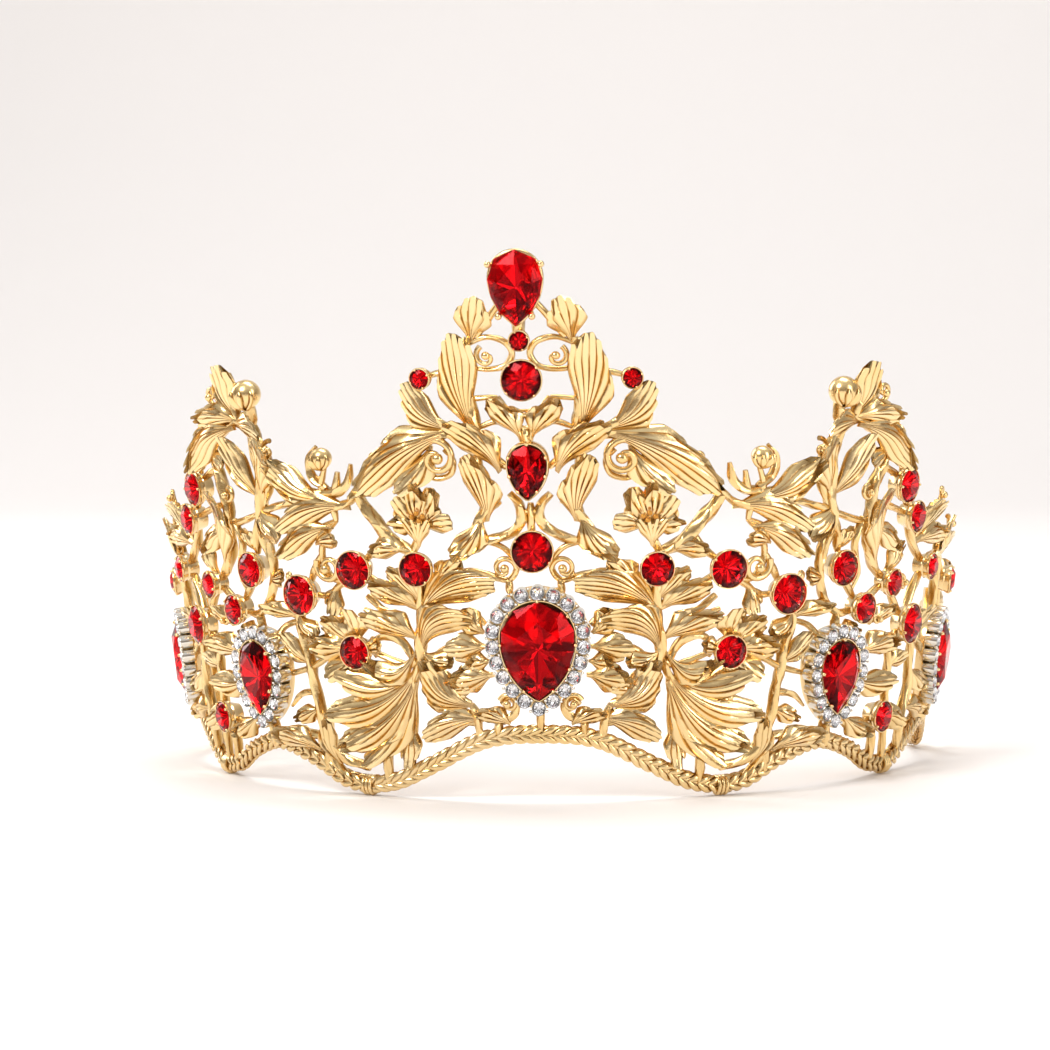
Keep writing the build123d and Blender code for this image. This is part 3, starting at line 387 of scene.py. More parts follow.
def leaf(shape, form, hand, flutes, base=0.5, lift=1.6, seed=0):
    """A chased leaf: one arched blade, fluted from the root, with a scalloped and curled tip.

    base is how far its root stands out from the wall, and lift sets how far it rises and curls.
    """
    root_s, root_h, tip_s, tip_h, width, bow = form
    length = hypot(tip_s - root_s, tip_h - root_h)
    across = (-(tip_h - root_h) / length, (tip_s - root_s) / length)
    # How much shorter the blade is at its edges than in the middle
    if abs(bow) < STRAIGHT_BOW:
        left_drop = right_drop = 0.4
    elif bow > 0:
        left_drop, right_drop = 0.58, 0.2
    else:
        left_drop, right_drop = 0.2, 0.58
    steps, parts = 14, 5
    columns = flutes * parts
    notch = min(0.17, 1.25 / length)
    lift *= min(1.0, length / FULL_CURL_LENGTH)
    rings, shades = [], []
    wave = 0.25 * (seed % 3)
    for i in range(steps + 1):
        t = (i / steps) ** 0.9
        front, tones = [], []
        for j in range(columns + 1):
            v = -1 + 2 * j / columns
            edgeward = abs(v)
            inside = (j % parts) / parts * 2 - 1
            cap = sqrt(max(0.0, 1 - inside ** 4))
            finger = min(flutes - 1, j // parts)
            odd = 0.05 * noise.noise((seed * 1.7 + 0.3, finger * 2.3, 0.5))
            middle = abs(-1 + (2 * finger + 1) / flutes)
            stepped = 0.3 * edgeward ** 1.6 + 0.7 * middle ** 1.6
            drop = left_drop if v > 0 else right_drop
            reach = 1 - drop * stepped - notch * (1 - cap) + odd
            u = t * reach
            bend = 4 * bow * u * (1 - u)
            half = 0.6 * width * (0.13 + 0.87 * ease(t / 0.9)) * (1 - 0.14 * ease((t - 0.8) / 0.2))
            spread = v * half + bend
            relief = (0.1 + 0.26 * ease(t * 1.6)) * cap * min(1.0, 3.0 * width / flutes / 2)
            curl = lift * (0.6 * sin(pi * 0.6 * t) + 3.2 * max(0.0, t - 0.6) ** 2)
            curl += wave * sin(2 * pi * t) * t
            arch = 0.17 * width * (1 - v * v) * ease(t * 1.8)
            out = base + curl + relief + arch - 0.08 * width * edgeward * t
            s = root_s + (tip_s - root_s) * u + across[0] * spread
            h = root_h + (tip_h - root_h) * u + across[1] * spread
            front.append((hand * s, h, out))
            # painted shade: dark in the flute creases and darker toward the root than at the tip
            tones.append((0.15 + 0.85 * cap ** 0.5) * (0.55 + 0.45 * ease(t * 1.5)))
        back = [(s, h, out - BLADE) for s, h, out in front[::-1]]
        ring = [wall(*point) for point in front + back]
        rings.append(ring if hand > 0 else ring[::-1])
        full = tones + [0.85] * len(back)
        shades.append(full if hand > 0 else full[::-1])
    shape.skin(rings, shades)


def smooth_route(points, parts=6):
    """Points on a smooth curve through the given ones."""
    ends = [tuple(2 * a - b for a, b in zip(points[0], points[1]))]
    tails = [tuple(2 * a - b for a, b in zip(points[-1], points[-2]))]
    full = ends + list(points) + tails
    route = []
    for i in range(1, len(full) - 2):
        p0, p1, p2, p3 = full[i - 1:i + 3]
        for k in range(parts):
            t = k / parts
            route.append(tuple(
                0.5 * (
                    2 * b + (c - a) * t + (2 * a - 5 * b + 4 * c - d) * t * t
                    + (3 * b - a - 3 * c + d) * t ** 3
                )
                for a, b, c, d in zip(p0, p1, p2, p3)
            ))
    return route + [tuple(points[-1])]


def rod(shape, route, widths, depth=1.0, flutes=0, sides=10, twist=0.8):
    """A closed rod of oval section along (s, h, out) points; flutes cut spiral grooves in it."""
    rings, shades, run_length = [], [], 0.0
    for i, (s, h, out) in enumerate(route):
        before, after = route[max(0, i - 1)], route[min(len(route) - 1, i + 1)]
        ds, dh = after[0] - before[0], after[1] - before[1]
        run = hypot(ds, dh) or 1.0
        run_length += run / 2
        side = (-dh / run, ds / run)
        ring, tones = [], []
        for j in range(sides):
            a = 2 * pi * j / sides
            groove = 0.16 * cos(flutes * a + twist * run_length) if flutes else 0.0
            r = widths[i] / 2 * (1 + groove)
            ring.append(wall(
                s + side[0] * r * cos(a), h + side[1] * r * cos(a), out + depth * r * sin(a),
            ))
            # painted shade: darker on the side toward the wall and in the grooves, lighter facing
            # out and on the ridges
            tones.append(min(1.0, 0.35 + 0.65 * max(0.0, sin(a)) + groove * 2))
        rings.append(ring[::-1])
        shades.append(tones[::-1])
    shape.skin(rings, shades)


def stem(shape, width, points, hand, taper=0.0):
    """A cast stem, a little swollen toward its middle and unevenly along it, finer at its ends, or
    tapered to a horn.
    """
    route = smooth_route([(hand * s, h, STEM_OUT) for s, h in points])
    count = len(route) - 1
    widths = []
    for i, (s, h, out) in enumerate(route):
        swell = 1.25 - 0.45 * abs(2 * i / count - 1) ** 3
        swell += 0.2 * noise.noise((s * 0.6, h * 0.6, 2.0))
        widths.append(width * swell * (1 - taper * i / count))
    flutes, sides = (3, 12) if width >= FLUTED_WIDTH else (0, 8)
    rod(shape, route, widths, 1.15, flutes, sides)


def ball(shape, s, h, out, radius, rows=8, turns=12):
    """A polished ball on the wall."""
    rings, shades = [], []
    for i in range(rows + 1):
        a = pi * (i + 0.001) / (rows + 0.002)
        ring = []
        for j in range(turns):
            b = 2 * pi * j / turns
            ring.append(wall(
                s + radius * sin(a) * cos(b), h + radius * sin(a) * sin(b), out + radius * cos(a),
            ))
        rings.append(ring[::-1])
        shades.append([0.9] * turns)
    shape.skin(rings, shades)


def scroll(shape, form, hand):
    """A wire scroll that winds in to a ball."""
    s, h, radius, start, turns = form
    steps = 26
    route, widths = [], []
    for i in range(steps + 1):
        t = i / steps
        r = radius * (1 - 0.86 * t)
        a = radians(start) + 2 * pi * turns * t
        route.append((hand * (s + r * cos(a)), h + r * sin(a), 0.8 + 0.9 * t))
        widths.append((0.42 + 0.3 * radius) * (1 - 0.35 * t))
    rod(shape, route, widths, 1.1, 0, 8)
    ball(
        shape, hand * (s + 0.14 * radius * cos(a)), h + 0.14 * radius * sin(a), 1.9,
        0.3 + 0.22 * radius, turns=14,
    )


def bud(shape, s, h, size, hand):
    """A round bud held by four sepals."""
    r = size / 2 * 1.04
    ball(shape, hand * s, h, 1.0, size / 2, rows=14, turns=20)
    for turn in (-1.15, -0.4, 0.4, 1.15):
        path, widths = [], []
        for i in range(10):
            t = i / 9
            reach = -1 + 1.25 * t
            path.append((
                hand * (s + r * sin(turn) * sin(pi * min(1.0, t * 0.62))), h + r * reach,
                1.0 + r * cos(turn) * sqrt(max(0.0, 1 - reach * reach)) + 0.1,
            ))
            widths.append(size * 0.3 * sin(pi * (0.12 + 0.82 * t)) + 0.12)
        ribbon(shape, path, widths, 0.25, 0.25)


# Outlines, as functions of an angle from the wall's +s direction, about a centre

def round_edge(diameter):
    return lambda a: (diameter / 2 * cos(a), diameter / 2 * sin(a))


def pear_edge(width, length):
    """A pear with its point down: a round end above two long arcs."""
    half = width / 2
    rise = length / 2 - half
    drop = rise + length / 2
    arc = (half * half + drop * drop) / width

    def edge(a):
        if sin(a) >= 0 and cos(a) == 0:
            return (0.0, length / 2)
        low, high = 0.0, length
        direction = (cos(a), sin(a))
        for _ in range(26):
            r = (low + high) / 2
            x, y = abs(direction[0] * r), direction[1] * r
            if y >= rise:
                inside = hypot(x, y - rise) <= half
            else:
                inside = hypot(x + arc - half, y - rise) <= arc and y >= -length / 2
            low, high = (r, high) if inside else (low, r)
        return (direction[0] * low, direction[1] * low)

    return edge


def outline(edge, count, grown=0.0, turn=0.0):
    """Points round an outline at even distances, moved outward by grown."""
    fine = [edge(2 * pi * i / 360 + turn) for i in range(360)]
    moved = []
    for i, (x, y) in enumerate(fine):
        before, after = fine[i - 1], fine[(i + 1) % 360]
        dx, dy = after[0] - before[0], after[1] - before[1]
        run = hypot(dx, dy) or 1.0
        moved.append((x + dy / run * grown, y - dx / run * grown))
    lengths = [0.0]
    for i in range(360):
        a, b = moved[i], moved[(i + 1) % 360]
        lengths.append(lengths[-1] + hypot(b[0] - a[0], b[1] - a[1]))
    places, i = [], 0
    for k in range(count):
        want = lengths[-1] * k / count
        while lengths[i + 1] < want:
            i += 1
        share = (want - lengths[i]) / max(1e-9, lengths[i + 1] - lengths[i])
        a, b = moved[i], moved[(i + 1) % 360]
        places.append((a[0] + (b[0] - a[0]) * share, a[1] + (b[1] - a[1]) * share))
    return places


def setting_frame(s, h):
    """A straight frame on the wall: its origin and its along, up and out directions."""
    origin = wall(s, h)
    along = (wall(s + 0.05, h) - wall(s - 0.05, h)).normalized()
    out = (wall(s, h, 1.0) - origin).normalized()
    return origin, along, out.cross(along), out


def set_point(place, x, y, out):
    origin, along, up, outward = place
    return origin + (along * x + up * y + outward * out) * MM


def stone(shape, place, edge, girdle, crown, depth, ring, table, turn):
    """A brilliant of glass over foil facets, in turn bright foil and a dim copy painted as shade
    (materials 1 and 2).
    """
    points, faces = [], []

    def at(angle, scale, out):
        x, y = edge(angle + turn)
        points.append(set_point(place, x * scale, y * scale, out))

    step = 2 * pi / ring
    for k in range(ring):
        at(k * step, table, girdle + crown)
    for k in range(ring):
        at((k + 0.5) * step, 0.5 * (table + 1) * 1.02, girdle + crown * 0.55)
    for k in range(2 * ring):
        at(k * step / 2, 0.995, girdle)
    for k in range(2 * ring):
        at(k * step / 2, 0.995, girdle - GIRDLE)
    for k in range(ring):
        at((k + 0.5) * step, 0.24, girdle - GIRDLE - depth * 0.84)
    points.append(set_point(place, 0, 0, girdle - GIRDLE - depth))
    mid, top, low, base, tip = ring, 2 * ring, 4 * ring, 6 * ring, 7 * ring
    faces.append(tuple(range(ring)))
    for k in range(ring):
        n, p = (k + 1) % ring, (k - 1) % ring
        right, past = top + 2 * k + 1, top + (2 * k + 2) % (2 * ring)
        faces += [(n, k, mid + k), (k, mid + p, top + 2 * k), (k, top + 2 * k, mid + k)]
        faces += [(mid + k, top + 2 * k, right), (mid + k, right, past)]
    for j in range(2 * ring):
        k = (j + 1) % (2 * ring)
        faces.append((top + j, low + j, low + k, top + k))
    finishes = [0] * len(faces)
    for k in range(ring):
        p = (k - 1) % ring
        right, past = low + 2 * k + 1, low + (2 * k + 2) % (2 * ring)
        faces += [(base + k, right, low + 2 * k), (base + k, past, right)]
        faces += [(tip, base + k, low + 2 * k), (tip, low + 2 * k, base + p)]
        # bright foil, then foil darkened as painted shade, on alternate facets
        finishes += [1, 2, 1, 2]
    shape.facets(points, faces, finishes)


def tube_wall(shape, place, rings):
    """A turned wall of rings of (x, y, out); its profile closes on itself."""
    total, count = len(rings), len(rings[0])
    start = len(shape.points)
    for ring in rings:
        shape.points += [set_point(place, *point) for point in ring]
        # a light, even painted shade over the whole turned wall
        shape.shades += [0.75] * count
    for i in range(total):
        low, high = start + i * count, start + (i + 1) % total * count
        for j in range(count):
            k = (j + 1) % count
            shape.faces.append((low + j, low + k, high + k, high + j))
    shape.finishes += [0] * (total * count)


def bezel(shape, place, edge, back, front, count, lip=0.32, taper=0.0):
    """A hollow collet with a rolled rim and a closed back, narrower at the back by taper."""
    def ring(grown, out):
        return [(x, y, out) for x, y in outline(edge, count, grown)]

    tube_wall(shape, place, [
        # the inside wall and the rolled rim
        ring(0.02 - taper, back + 0.5), ring(0.02, front - 0.15),
        ring(0.1, front + 0.08), ring(0.24, front + 0.1),
        # the outside wall, with a moulding
        ring(lip, front - 0.1), ring(lip - 0.05, front - 0.4),
        ring(lip - 0.12 - 0.3 * taper, front - 1.1), ring(lip + 0.1 - 0.36 * taper, front - 1.35),
        ring(lip - 0.1 - 0.42 * taper, front - 1.6), ring(lip - 0.05 - taper, back),
    ])
    floor = [ring(lip - 0.2 - taper, back + 0.05), ring(lip - 0.2 - taper, back + 0.45)]
    # the collet's floor gets a darker painted shade
    shape.skin([[set_point(place, *p) for p in level] for level in floor], [[0.6] * count] * 2)


def bead(shape, place, x, y, out, radius, stretch=1.0, rows=6, turns=8):
    """A claw's rounded head, in a setting's frame."""
    rings = []
    for i in range(rows + 1):
        a = pi * (i + 0.001) / (rows + 0.002)
        ring = []
        for j in range(turns):
            b = 2 * pi * j / turns
            ring.append(set_point(
                place, x + radius * sin(a) * cos(b), y + radius * sin(a) * sin(b),
                out + radius * stretch * cos(a),
            ))
        rings.append(ring[::-1])
    shape.skin(rings, [[0.95] * turns] * (rows + 1))


def claws(shape, place, edge, front, count, size, turn):
    """Bead-headed claws over a stone's rim."""
    for k in range(count):
        x, y = edge(2 * pi * k / count + turn)
        bead(shape, place, x * 1.01, y * 1.01, front + 0.12, size, 1.3)


# Materials, all made of nodes

def ink(nodes, links, low, high, scale, detail, source):
    """A noise that runs from one colour to another: its texture and ramp nodes."""
    grain = nodes.new("ShaderNodeTexNoise")
    grain.inputs["Scale"].default_value = scale
    grain.inputs["Detail"].default_value = detail
    ramp = nodes.new("ShaderNodeValToRGB")
    ramp.color_ramp.elements[0].color = low
    ramp.color_ramp.elements[1].color = high
    ramp.color_ramp.elements[0].position = 0.3
    ramp.color_ramp.elements[1].position = 0.7
    links.new(source, grain.inputs["Vector"])
    links.new(grain.outputs["Fac"], ramp.inputs["Fac"])
    return grain, ramp


def metal(name, pale, deep, rough, crease_shade=None, bump=0.12):
    """Polished cast metal with a fine skin; with a crease shade colour, painted shade darkens it in
    its creases, where the shade mask is low.
    """
    material = bpy.data.materials.new(name)
    material.use_nodes = True
    nodes, links = material.node_tree.nodes, material.node_tree.links
    surface = nodes["Principled BSDF"]
    surface.inputs["Metallic"].default_value = 1.0
    place = nodes.new("ShaderNodeTexCoord").outputs["Object"]
    grain, tone = ink(nodes, links, deep, pale, 120.0, 3.0, place)
    colour = tone.outputs["Color"]
    # painted shade: the crease shade colour is mixed in where the shade mask is low
    if crease_shade:
        shade = nodes.new("ShaderNodeAttribute")
        shade.attribute_name = "shade"
        spread = nodes.new("ShaderNodeMapRange")
        spread.inputs["From Min"].default_value = 0.05
        spread.inputs["From Max"].default_value = 0.8
        links.new(shade.outputs["Fac"], spread.inputs["Value"])
        mix = nodes.new("ShaderNodeMix")
        mix.data_type = "RGBA"
        mix.inputs["A"].default_value = crease_shade
        links.new(spread.outputs["Result"], mix.inputs["Factor"])
        links.new(colour, mix.inputs["B"])
        colour = mix.outputs["Result"]
    links.new(colour, surface.inputs["Base Color"])
    fine = nodes.new("ShaderNodeTexNoise")
    fine.inputs["Scale"].default_value = 900.0
    fine.inputs["Detail"].default_value = 2.0
    links.new(place, fine.inputs["Vector"])
    level = nodes.new("ShaderNodeMapRange")
    level.inputs["To Min"].default_value = rough * 0.75
    level.inputs["To Max"].default_value = rough * 1.35
    links.new(grain.outputs["Fac"], level.inputs["Value"])
    links.new(level.outputs["Result"], surface.inputs["Roughness"])
    relief = nodes.new("ShaderNodeBump")
    relief.inputs["Strength"].default_value = bump
    relief.inputs["Distance"].default_value = 0.0004
    links.new(fine.outputs["Fac"], relief.inputs["Height"])
    links.new(relief.outputs["Normal"], surface.inputs["Normal"])
    return material


def glass(name, tint, edge_tint, ior, sheen):
    """Clear or coloured cut glass; sheen colours what its faces mirror."""
    material = bpy.data.materials.new(name)
    material.use_nodes = True
    nodes, links = material.node_tree.nodes, material.node_tree.links
    surface = nodes["Principled BSDF"]
    surface.inputs["Roughness"].default_value = 0.0
    surface.inputs["IOR"].default_value = ior
    surface.inputs["Transmission Weight"].default_value = 1.0
    surface.inputs["Specular Tint"].default_value = sheen
    place = nodes.new("ShaderNodeTexCoord").outputs["Object"]
    _, tone = ink(nodes, links, edge_tint, tint, 60.0, 1.0, place)
    links.new(tone.outputs["Color"], surface.inputs["Base Color"])
    return material


# The fourth colour of a metal is its painted crease shade, not a colour of the metal
PALE, DEEP, CREASE_SHADE = (0.90, 0.68, 0.345, 1), (0.83, 0.575, 0.245, 1), (0.43, 0.215, 0.035, 1)
cast_gold = metal("cast_gold", PALE, DEEP, 0.24, CREASE_SHADE)
leaf_gold = metal("leaf_gold", (0.94, 0.73, 0.41, 1), (0.88, 0.64, 0.30, 1), 0.22, CREASE_SHADE)
band_gold = metal(
    "band_gold", (0.91, 0.70, 0.385, 1), (0.85, 0.615, 0.285, 1), 0.26, (0.40, 0.195, 0.03, 1),
)
setting_gold = metal(
    "setting_gold", (0.89, 0.67, 0.365, 1), (0.83, 0.595, 0.285, 1), 0.18, CREASE_SHADE,
)
post_gold = metal("post_gold", PALE, DEEP, 0.24)
halo_silver = metal(
    "halo_silver", (0.88, 0.84, 0.76, 1), (0.78, 0.74, 0.66, 1), 0.16, (0.4, 0.34, 0.26, 1),
)
anther_gold = metal(
    "anther_gold", (0.72, 0.36, 0.08, 1), (0.55, 0.25, 0.05, 1), 0.3, (0.3, 0.1, 0.02, 1),
)
# The second foil of each cut is a dimmer copy of the first: painted shade on alternate facets
RED_CUT = [
    glass("red_glass", (0.96, 0.004, 0.014, 1), (0.86, 0.003, 0.010, 1), 1.46, (1, 0.12, 0.14, 1)),
    metal("red_foil", (1.0, 0.8, 0.6, 1), (0.95, 0.6, 0.5, 1), 0.08, bump=0.0),
    metal("red_foil_painted_shade", (0.56, 0.4, 0.4, 1), (0.46, 0.3, 0.3, 1), 0.08, bump=0.0),
]
CLEAR_CUT = [
    glass("clear_glass", (1, 1, 1, 1), (0.96, 0.97, 1, 1), 1.6, (1, 1, 1, 1)),
    metal("clear_foil", (1.0, 1.0, 1.0, 1), (0.94, 0.95, 0.97, 1), 0.06, bump=0.0),
    metal("clear_foil_painted_shade", (0.86, 0.86, 0.9, 1), (0.76, 0.77, 0.8, 1), 0.06, bump=0.0),
]

# Openwork and leaves. Each right-hand shape is repeated on the left
HANDS = {"right_": 1, "left_": -1}


def region(s):
    """The casting that a shape beginning at s belongs to."""
    return "centre" if abs(s) < CENTRE_END else "side" if abs(s) < SIDE_END else "end"


def lattice(which, hand, shape):
    """The stems, scrolls and buds of one casting."""
    for taper, stems in ((0.0, STEMS), (0.5, HOOKS)):
        for width, points in stems:
            if region(points[0][0]) == which:
                stem(shape, width, points, hand, taper)
    for form in SCROLLS:
        if region(form[0]) == which:
            scroll(shape, form, hand)
    for s, h, size in BUDS:
        if region(s) == which:
            bud(shape, s, h, size, hand)


centre_openwork = Shape()
for hand in HANDS.values():
    lattice("centre", hand, centre_openwork)
for width, points in MIDDLE_STEMS:
    stem(centre_openwork, width, points, 1)
for s, h, radius, width in RINGS:
    angles = [2 * pi * i / 20 for i in range(21)]
    hoop = [(s + radius * cos(a), h + radius * sin(a), 0.9) for a in angles]
    rod(centre_openwork, hoop, [width] * 21, 1.0, 0, 8)
centre_openwork.make("centre_openwork", "cast_gold", [cast_gold], ["centre_panel"])
for prefix, hand in HANDS.items():
    for which in ("side", "end"):
        openwork = Shape()
        lattice(which, hand, openwork)
        name = f"{prefix}{which}"
        openwork.make(name + "_openwork", "cast_gold", [cast_gold], [name + "_panel"])


def foliage(forms, hands, lift, base=0.5):
    """A group of leaves; neighbours stand out differently, so that they overlap."""
    shape = Shape()
    for number, form in enumerate(forms):
        for hand in hands:
            leaf(shape, form[:6], hand, form[6], base + 0.25 * (number % 3), lift, number)
    return shape


for name, forms, lift in [
    ("crest_leaves", CREST_LEAVES, 1.3), ("medallion_leaves", MEDALLION_LEAVES, 1.2),
]:
    foliage(forms, (1, -1), lift).make(name + "_chased", "leaf_gold", [leaf_gold], [name])
for prefix, hand in HANDS.items():
    for name, forms, lift in [
        ("acanthus", ACANTHUS_LEAVES, 1.7), ("rosette", ROSETTE_PETALS, 1.1),
        ("side_leaves", SIDE_LEAVES, 1.4), ("peak_leaves", PEAK_LEAVES, 1.6),
        ("end_leaves", END_LEAVES, 1.4),
    ]:
        leaves = foliage(forms, (hand,), lift)
        leaves.make(f"{prefix}{name}_chased", "leaf_gold", [leaf_gold], [prefix + name])
    bloom = foliage(LILY_PETALS, (hand,), 1.1, 0.7)
    # the small leaves in front of the petals
    for turn in (-0.9, -0.3, 0.3, 0.9):
        leaf(bloom, (19.3, 42.6, 19.3 + 2.4 * turn, 47.4, 2, turn * 0.4), hand, 3, 1.8, 0.8)
    bloom.make(f"{prefix}lily_chased", "leaf_gold", [leaf_gold], [prefix + "lily"])
    anthers = Shape()
    for ds, dh in ((-1.0, 3.2), (0, 3.7), (0.9, 3.1), (-0.3, 2.5)):
        ball(anthers, hand * (18.6 + ds), 44.9 + dh, 3.6, 0.48, rows=6, turns=8)
    anthers.make(f"{prefix}lily_anthers", "leaf_gold", [anther_gold], [])


def braid(shape, points):
    """A wheat braid along the band: a core under four rows of slanted grains."""
    route = smooth_route([(s, h, 0.0) for s, h in points], 24)
    lengths = [0.0]
    for a, b in zip(route, route[1:]):
        lengths.append(lengths[-1] + hypot(b[0] - a[0], b[1] - a[1]))
    core = route[::3] + [route[-1]]
    rod(shape, core, [1.7] * len(core), 1.0, 0, 8)
    count = int(lengths[-1] / GRAIN_PITCH)
    i = 0
    for k in range(count):
        want = lengths[-1] * (k + 0.5) / count
        while lengths[i + 1] < want:
            i += 1
        a, b = route[i], route[i + 1]
        run = hypot(b[0] - a[0], b[1] - a[1])
        ahead = ((b[0] - a[0]) / run, (b[1] - a[1]) / run)
        side = (-ahead[1], ahead[0])
        for up, front in ((1, 1), (-1, 1), (1, -1), (-1, -1)):
            path, widths = [], []
            for m in range(7):
                t = m / 6
                forward = GRAIN_LENGTH * t - GRAIN_LENGTH / 2
                across = up * (0.05 + 1.12 * sin(pi * 0.5 * t))
                out = front * (1.12 * cos(0.42 * pi * t) - 0.12)
                path.append((
                    a[0] + ahead[0] * forward + side[0] * across,
                    a[1] + ahead[1] * forward + side[1] * across, out,
                ))
                widths.append(0.16 + 1.05 * sin(pi * (0.06 + 0.86 * t)))
            rod(shape, path, widths, 0.62, 0, 6)


# The braid and its bindings
for number, name in enumerate(("centre_band", "side_band", "end_band")):
    for prefix, hand in {"": 1}.items() if number == 0 else HANDS.items():
        plait = Shape()
        braid(plait, [(hand * s, h) for s, h in BAND_ARCHES[number]])
        plait.make(f"{prefix}{name}_plait", "band_gold", [band_gold], [prefix + name])
bindings = Shape()
for joint in JOINTS:
    for ds in (-0.75, 0.0, 0.75):
        rings, tones = [], []
        for i in range(25):
            a = 2 * pi * i / 24
            ring = []
            for j in range(8):
                b = 2 * pi * j / 8
                r = 1.5 + 0.36 * cos(b)
                ring.append(wall(joint + ds + 0.36 * sin(b), r * sin(a) * 0.98, r * cos(a)))
            rings.append(ring)
            # painted shade: darker on the inner side of each ring, against the band
            tones.append([0.4 + 0.6 * max(0.0, cos(2 * pi * j / 8)) for j in range(8)])
        bindings.skin(rings, tones)
bindings.make("joint_bindings", "band_gold", [band_gold], ["joint_ties"])

# Round settings and their stones
SETTINGS = [
    ("crest_collets", "crest_stones", CREST_ROUNDS, (1,), ""),
    ("front_collets", "front_stones", FRONT_ROUNDS, (1, -1), ""),
    ("side_collets", "side_stones", SIDE_ROUNDS, (1,), "right_"),
    ("side_collets", "side_stones", SIDE_ROUNDS, (-1,), "left_"),
    ("end_collets", "end_stones", END_ROUNDS, (1,), "right_"),
    ("end_collets", "end_stones", END_ROUNDS, (-1,), "left_"),
]
for collets, stones, rounds, hands, prefix in SETTINGS:
    metalwork, gems = Shape(), Shape()
    for number, (s, h, size) in enumerate(rounds):
        for hand in hands:
            place = setting_frame(hand * s, h)
            edge = round_edge(size)
            claw_size = 0.3 if size > 4 else 0.22
            bezel(metalwork, place, edge, SETTING_BACK, COLLET_FRONT, 28, taper=0.2 * size)
            claws(metalwork, place, edge, COLLET_FRONT + 0.02, 4, claw_size, 0.3 * number + 0.4)
            stone(gems, place, edge, COLLET_FRONT, size * 0.16, size * 0.3, 8, 0.5, 0.35 * number)
    metalwork.make(f"{prefix}{collets}_claws", "setting_gold", [setting_gold], [prefix + collets])
    gems.make(f"{prefix}{stones}_cut", "red_glass", RED_CUT, [prefix + stones], smooth=False)

# Pear stones: the crest pear in a bezel, the top pear in an open basket
s, h, width, length = CREST_PEAR
place, edge = setting_frame(s, h), pear_edge(width, length)
metalwork, gems = Shape(), Shape()
bezel(metalwork, place, edge, SETTING_BACK, COLLET_FRONT, 44)
claws(metalwork, place, edge, COLLET_FRONT + 0.05, 7, 0.4, PEAR_TURN)
stone(gems, place, edge, COLLET_FRONT, 1, 1.5, 5, 0.62, PEAR_TURN)
metalwork.make("crest_pear_bezel", "setting_gold", [setting_gold], ["crest_pear_collet"])
gems.make("crest_pear_cut", "red_glass", RED_CUT, ["crest_pear_stone"], smooth=False)

s, h, width, length = TOP_PEAR
place, edge = setting_frame(s, h), pear_edge(width, length)
metalwork, gems = Shape(), Shape()
# the basket's two wires, then its four claws
for grown, out, thick in ((-1.9, 0.1, 0.5), (-0.35, 2.2, 0.45)):
    tube_wall(metalwork, place, [
        [(x, y, out + thick * sin(b)) for x, y in outline(edge, 44, grown + thick * cos(b))]
        for b in (2 * pi * i / 8 for i in range(8))
    ])
for x, y in ((4.6, 4.2), (2.9, -4.8)):
    for hand in HANDS.values():
        rings = []
        for i in range(9):
            t = i / 8
            reach = 0.62 + 0.42 * t - 0.1 * max(0.0, t - 0.8) * 5
            r, out = 0.55 - 0.12 * t, -0.4 + 3.9 * t
            rings.append([
                set_point(place, hand * x * reach + r * cos(b), y * reach + r * sin(b), out)
                for b in (2 * pi * j / 8 for j in range(8))
            ])
        metalwork.skin(rings, [[0.9] * 8] * 9)
        bead(metalwork, place, hand * x * 0.97, y * 0.97, 3.6, 0.62, 1.0, 8, 10)
stone(gems, place, edge, BASKET_FRONT, 1.4, 1.9, 5, 0.62, PEAR_TURN)
metalwork.make("top_pear_claws", "setting_gold", [setting_gold], ["top_pear_basket"])
gems.make("top_pear_cut", "red_glass", RED_CUT, ["top_pear_stone"], smooth=False)

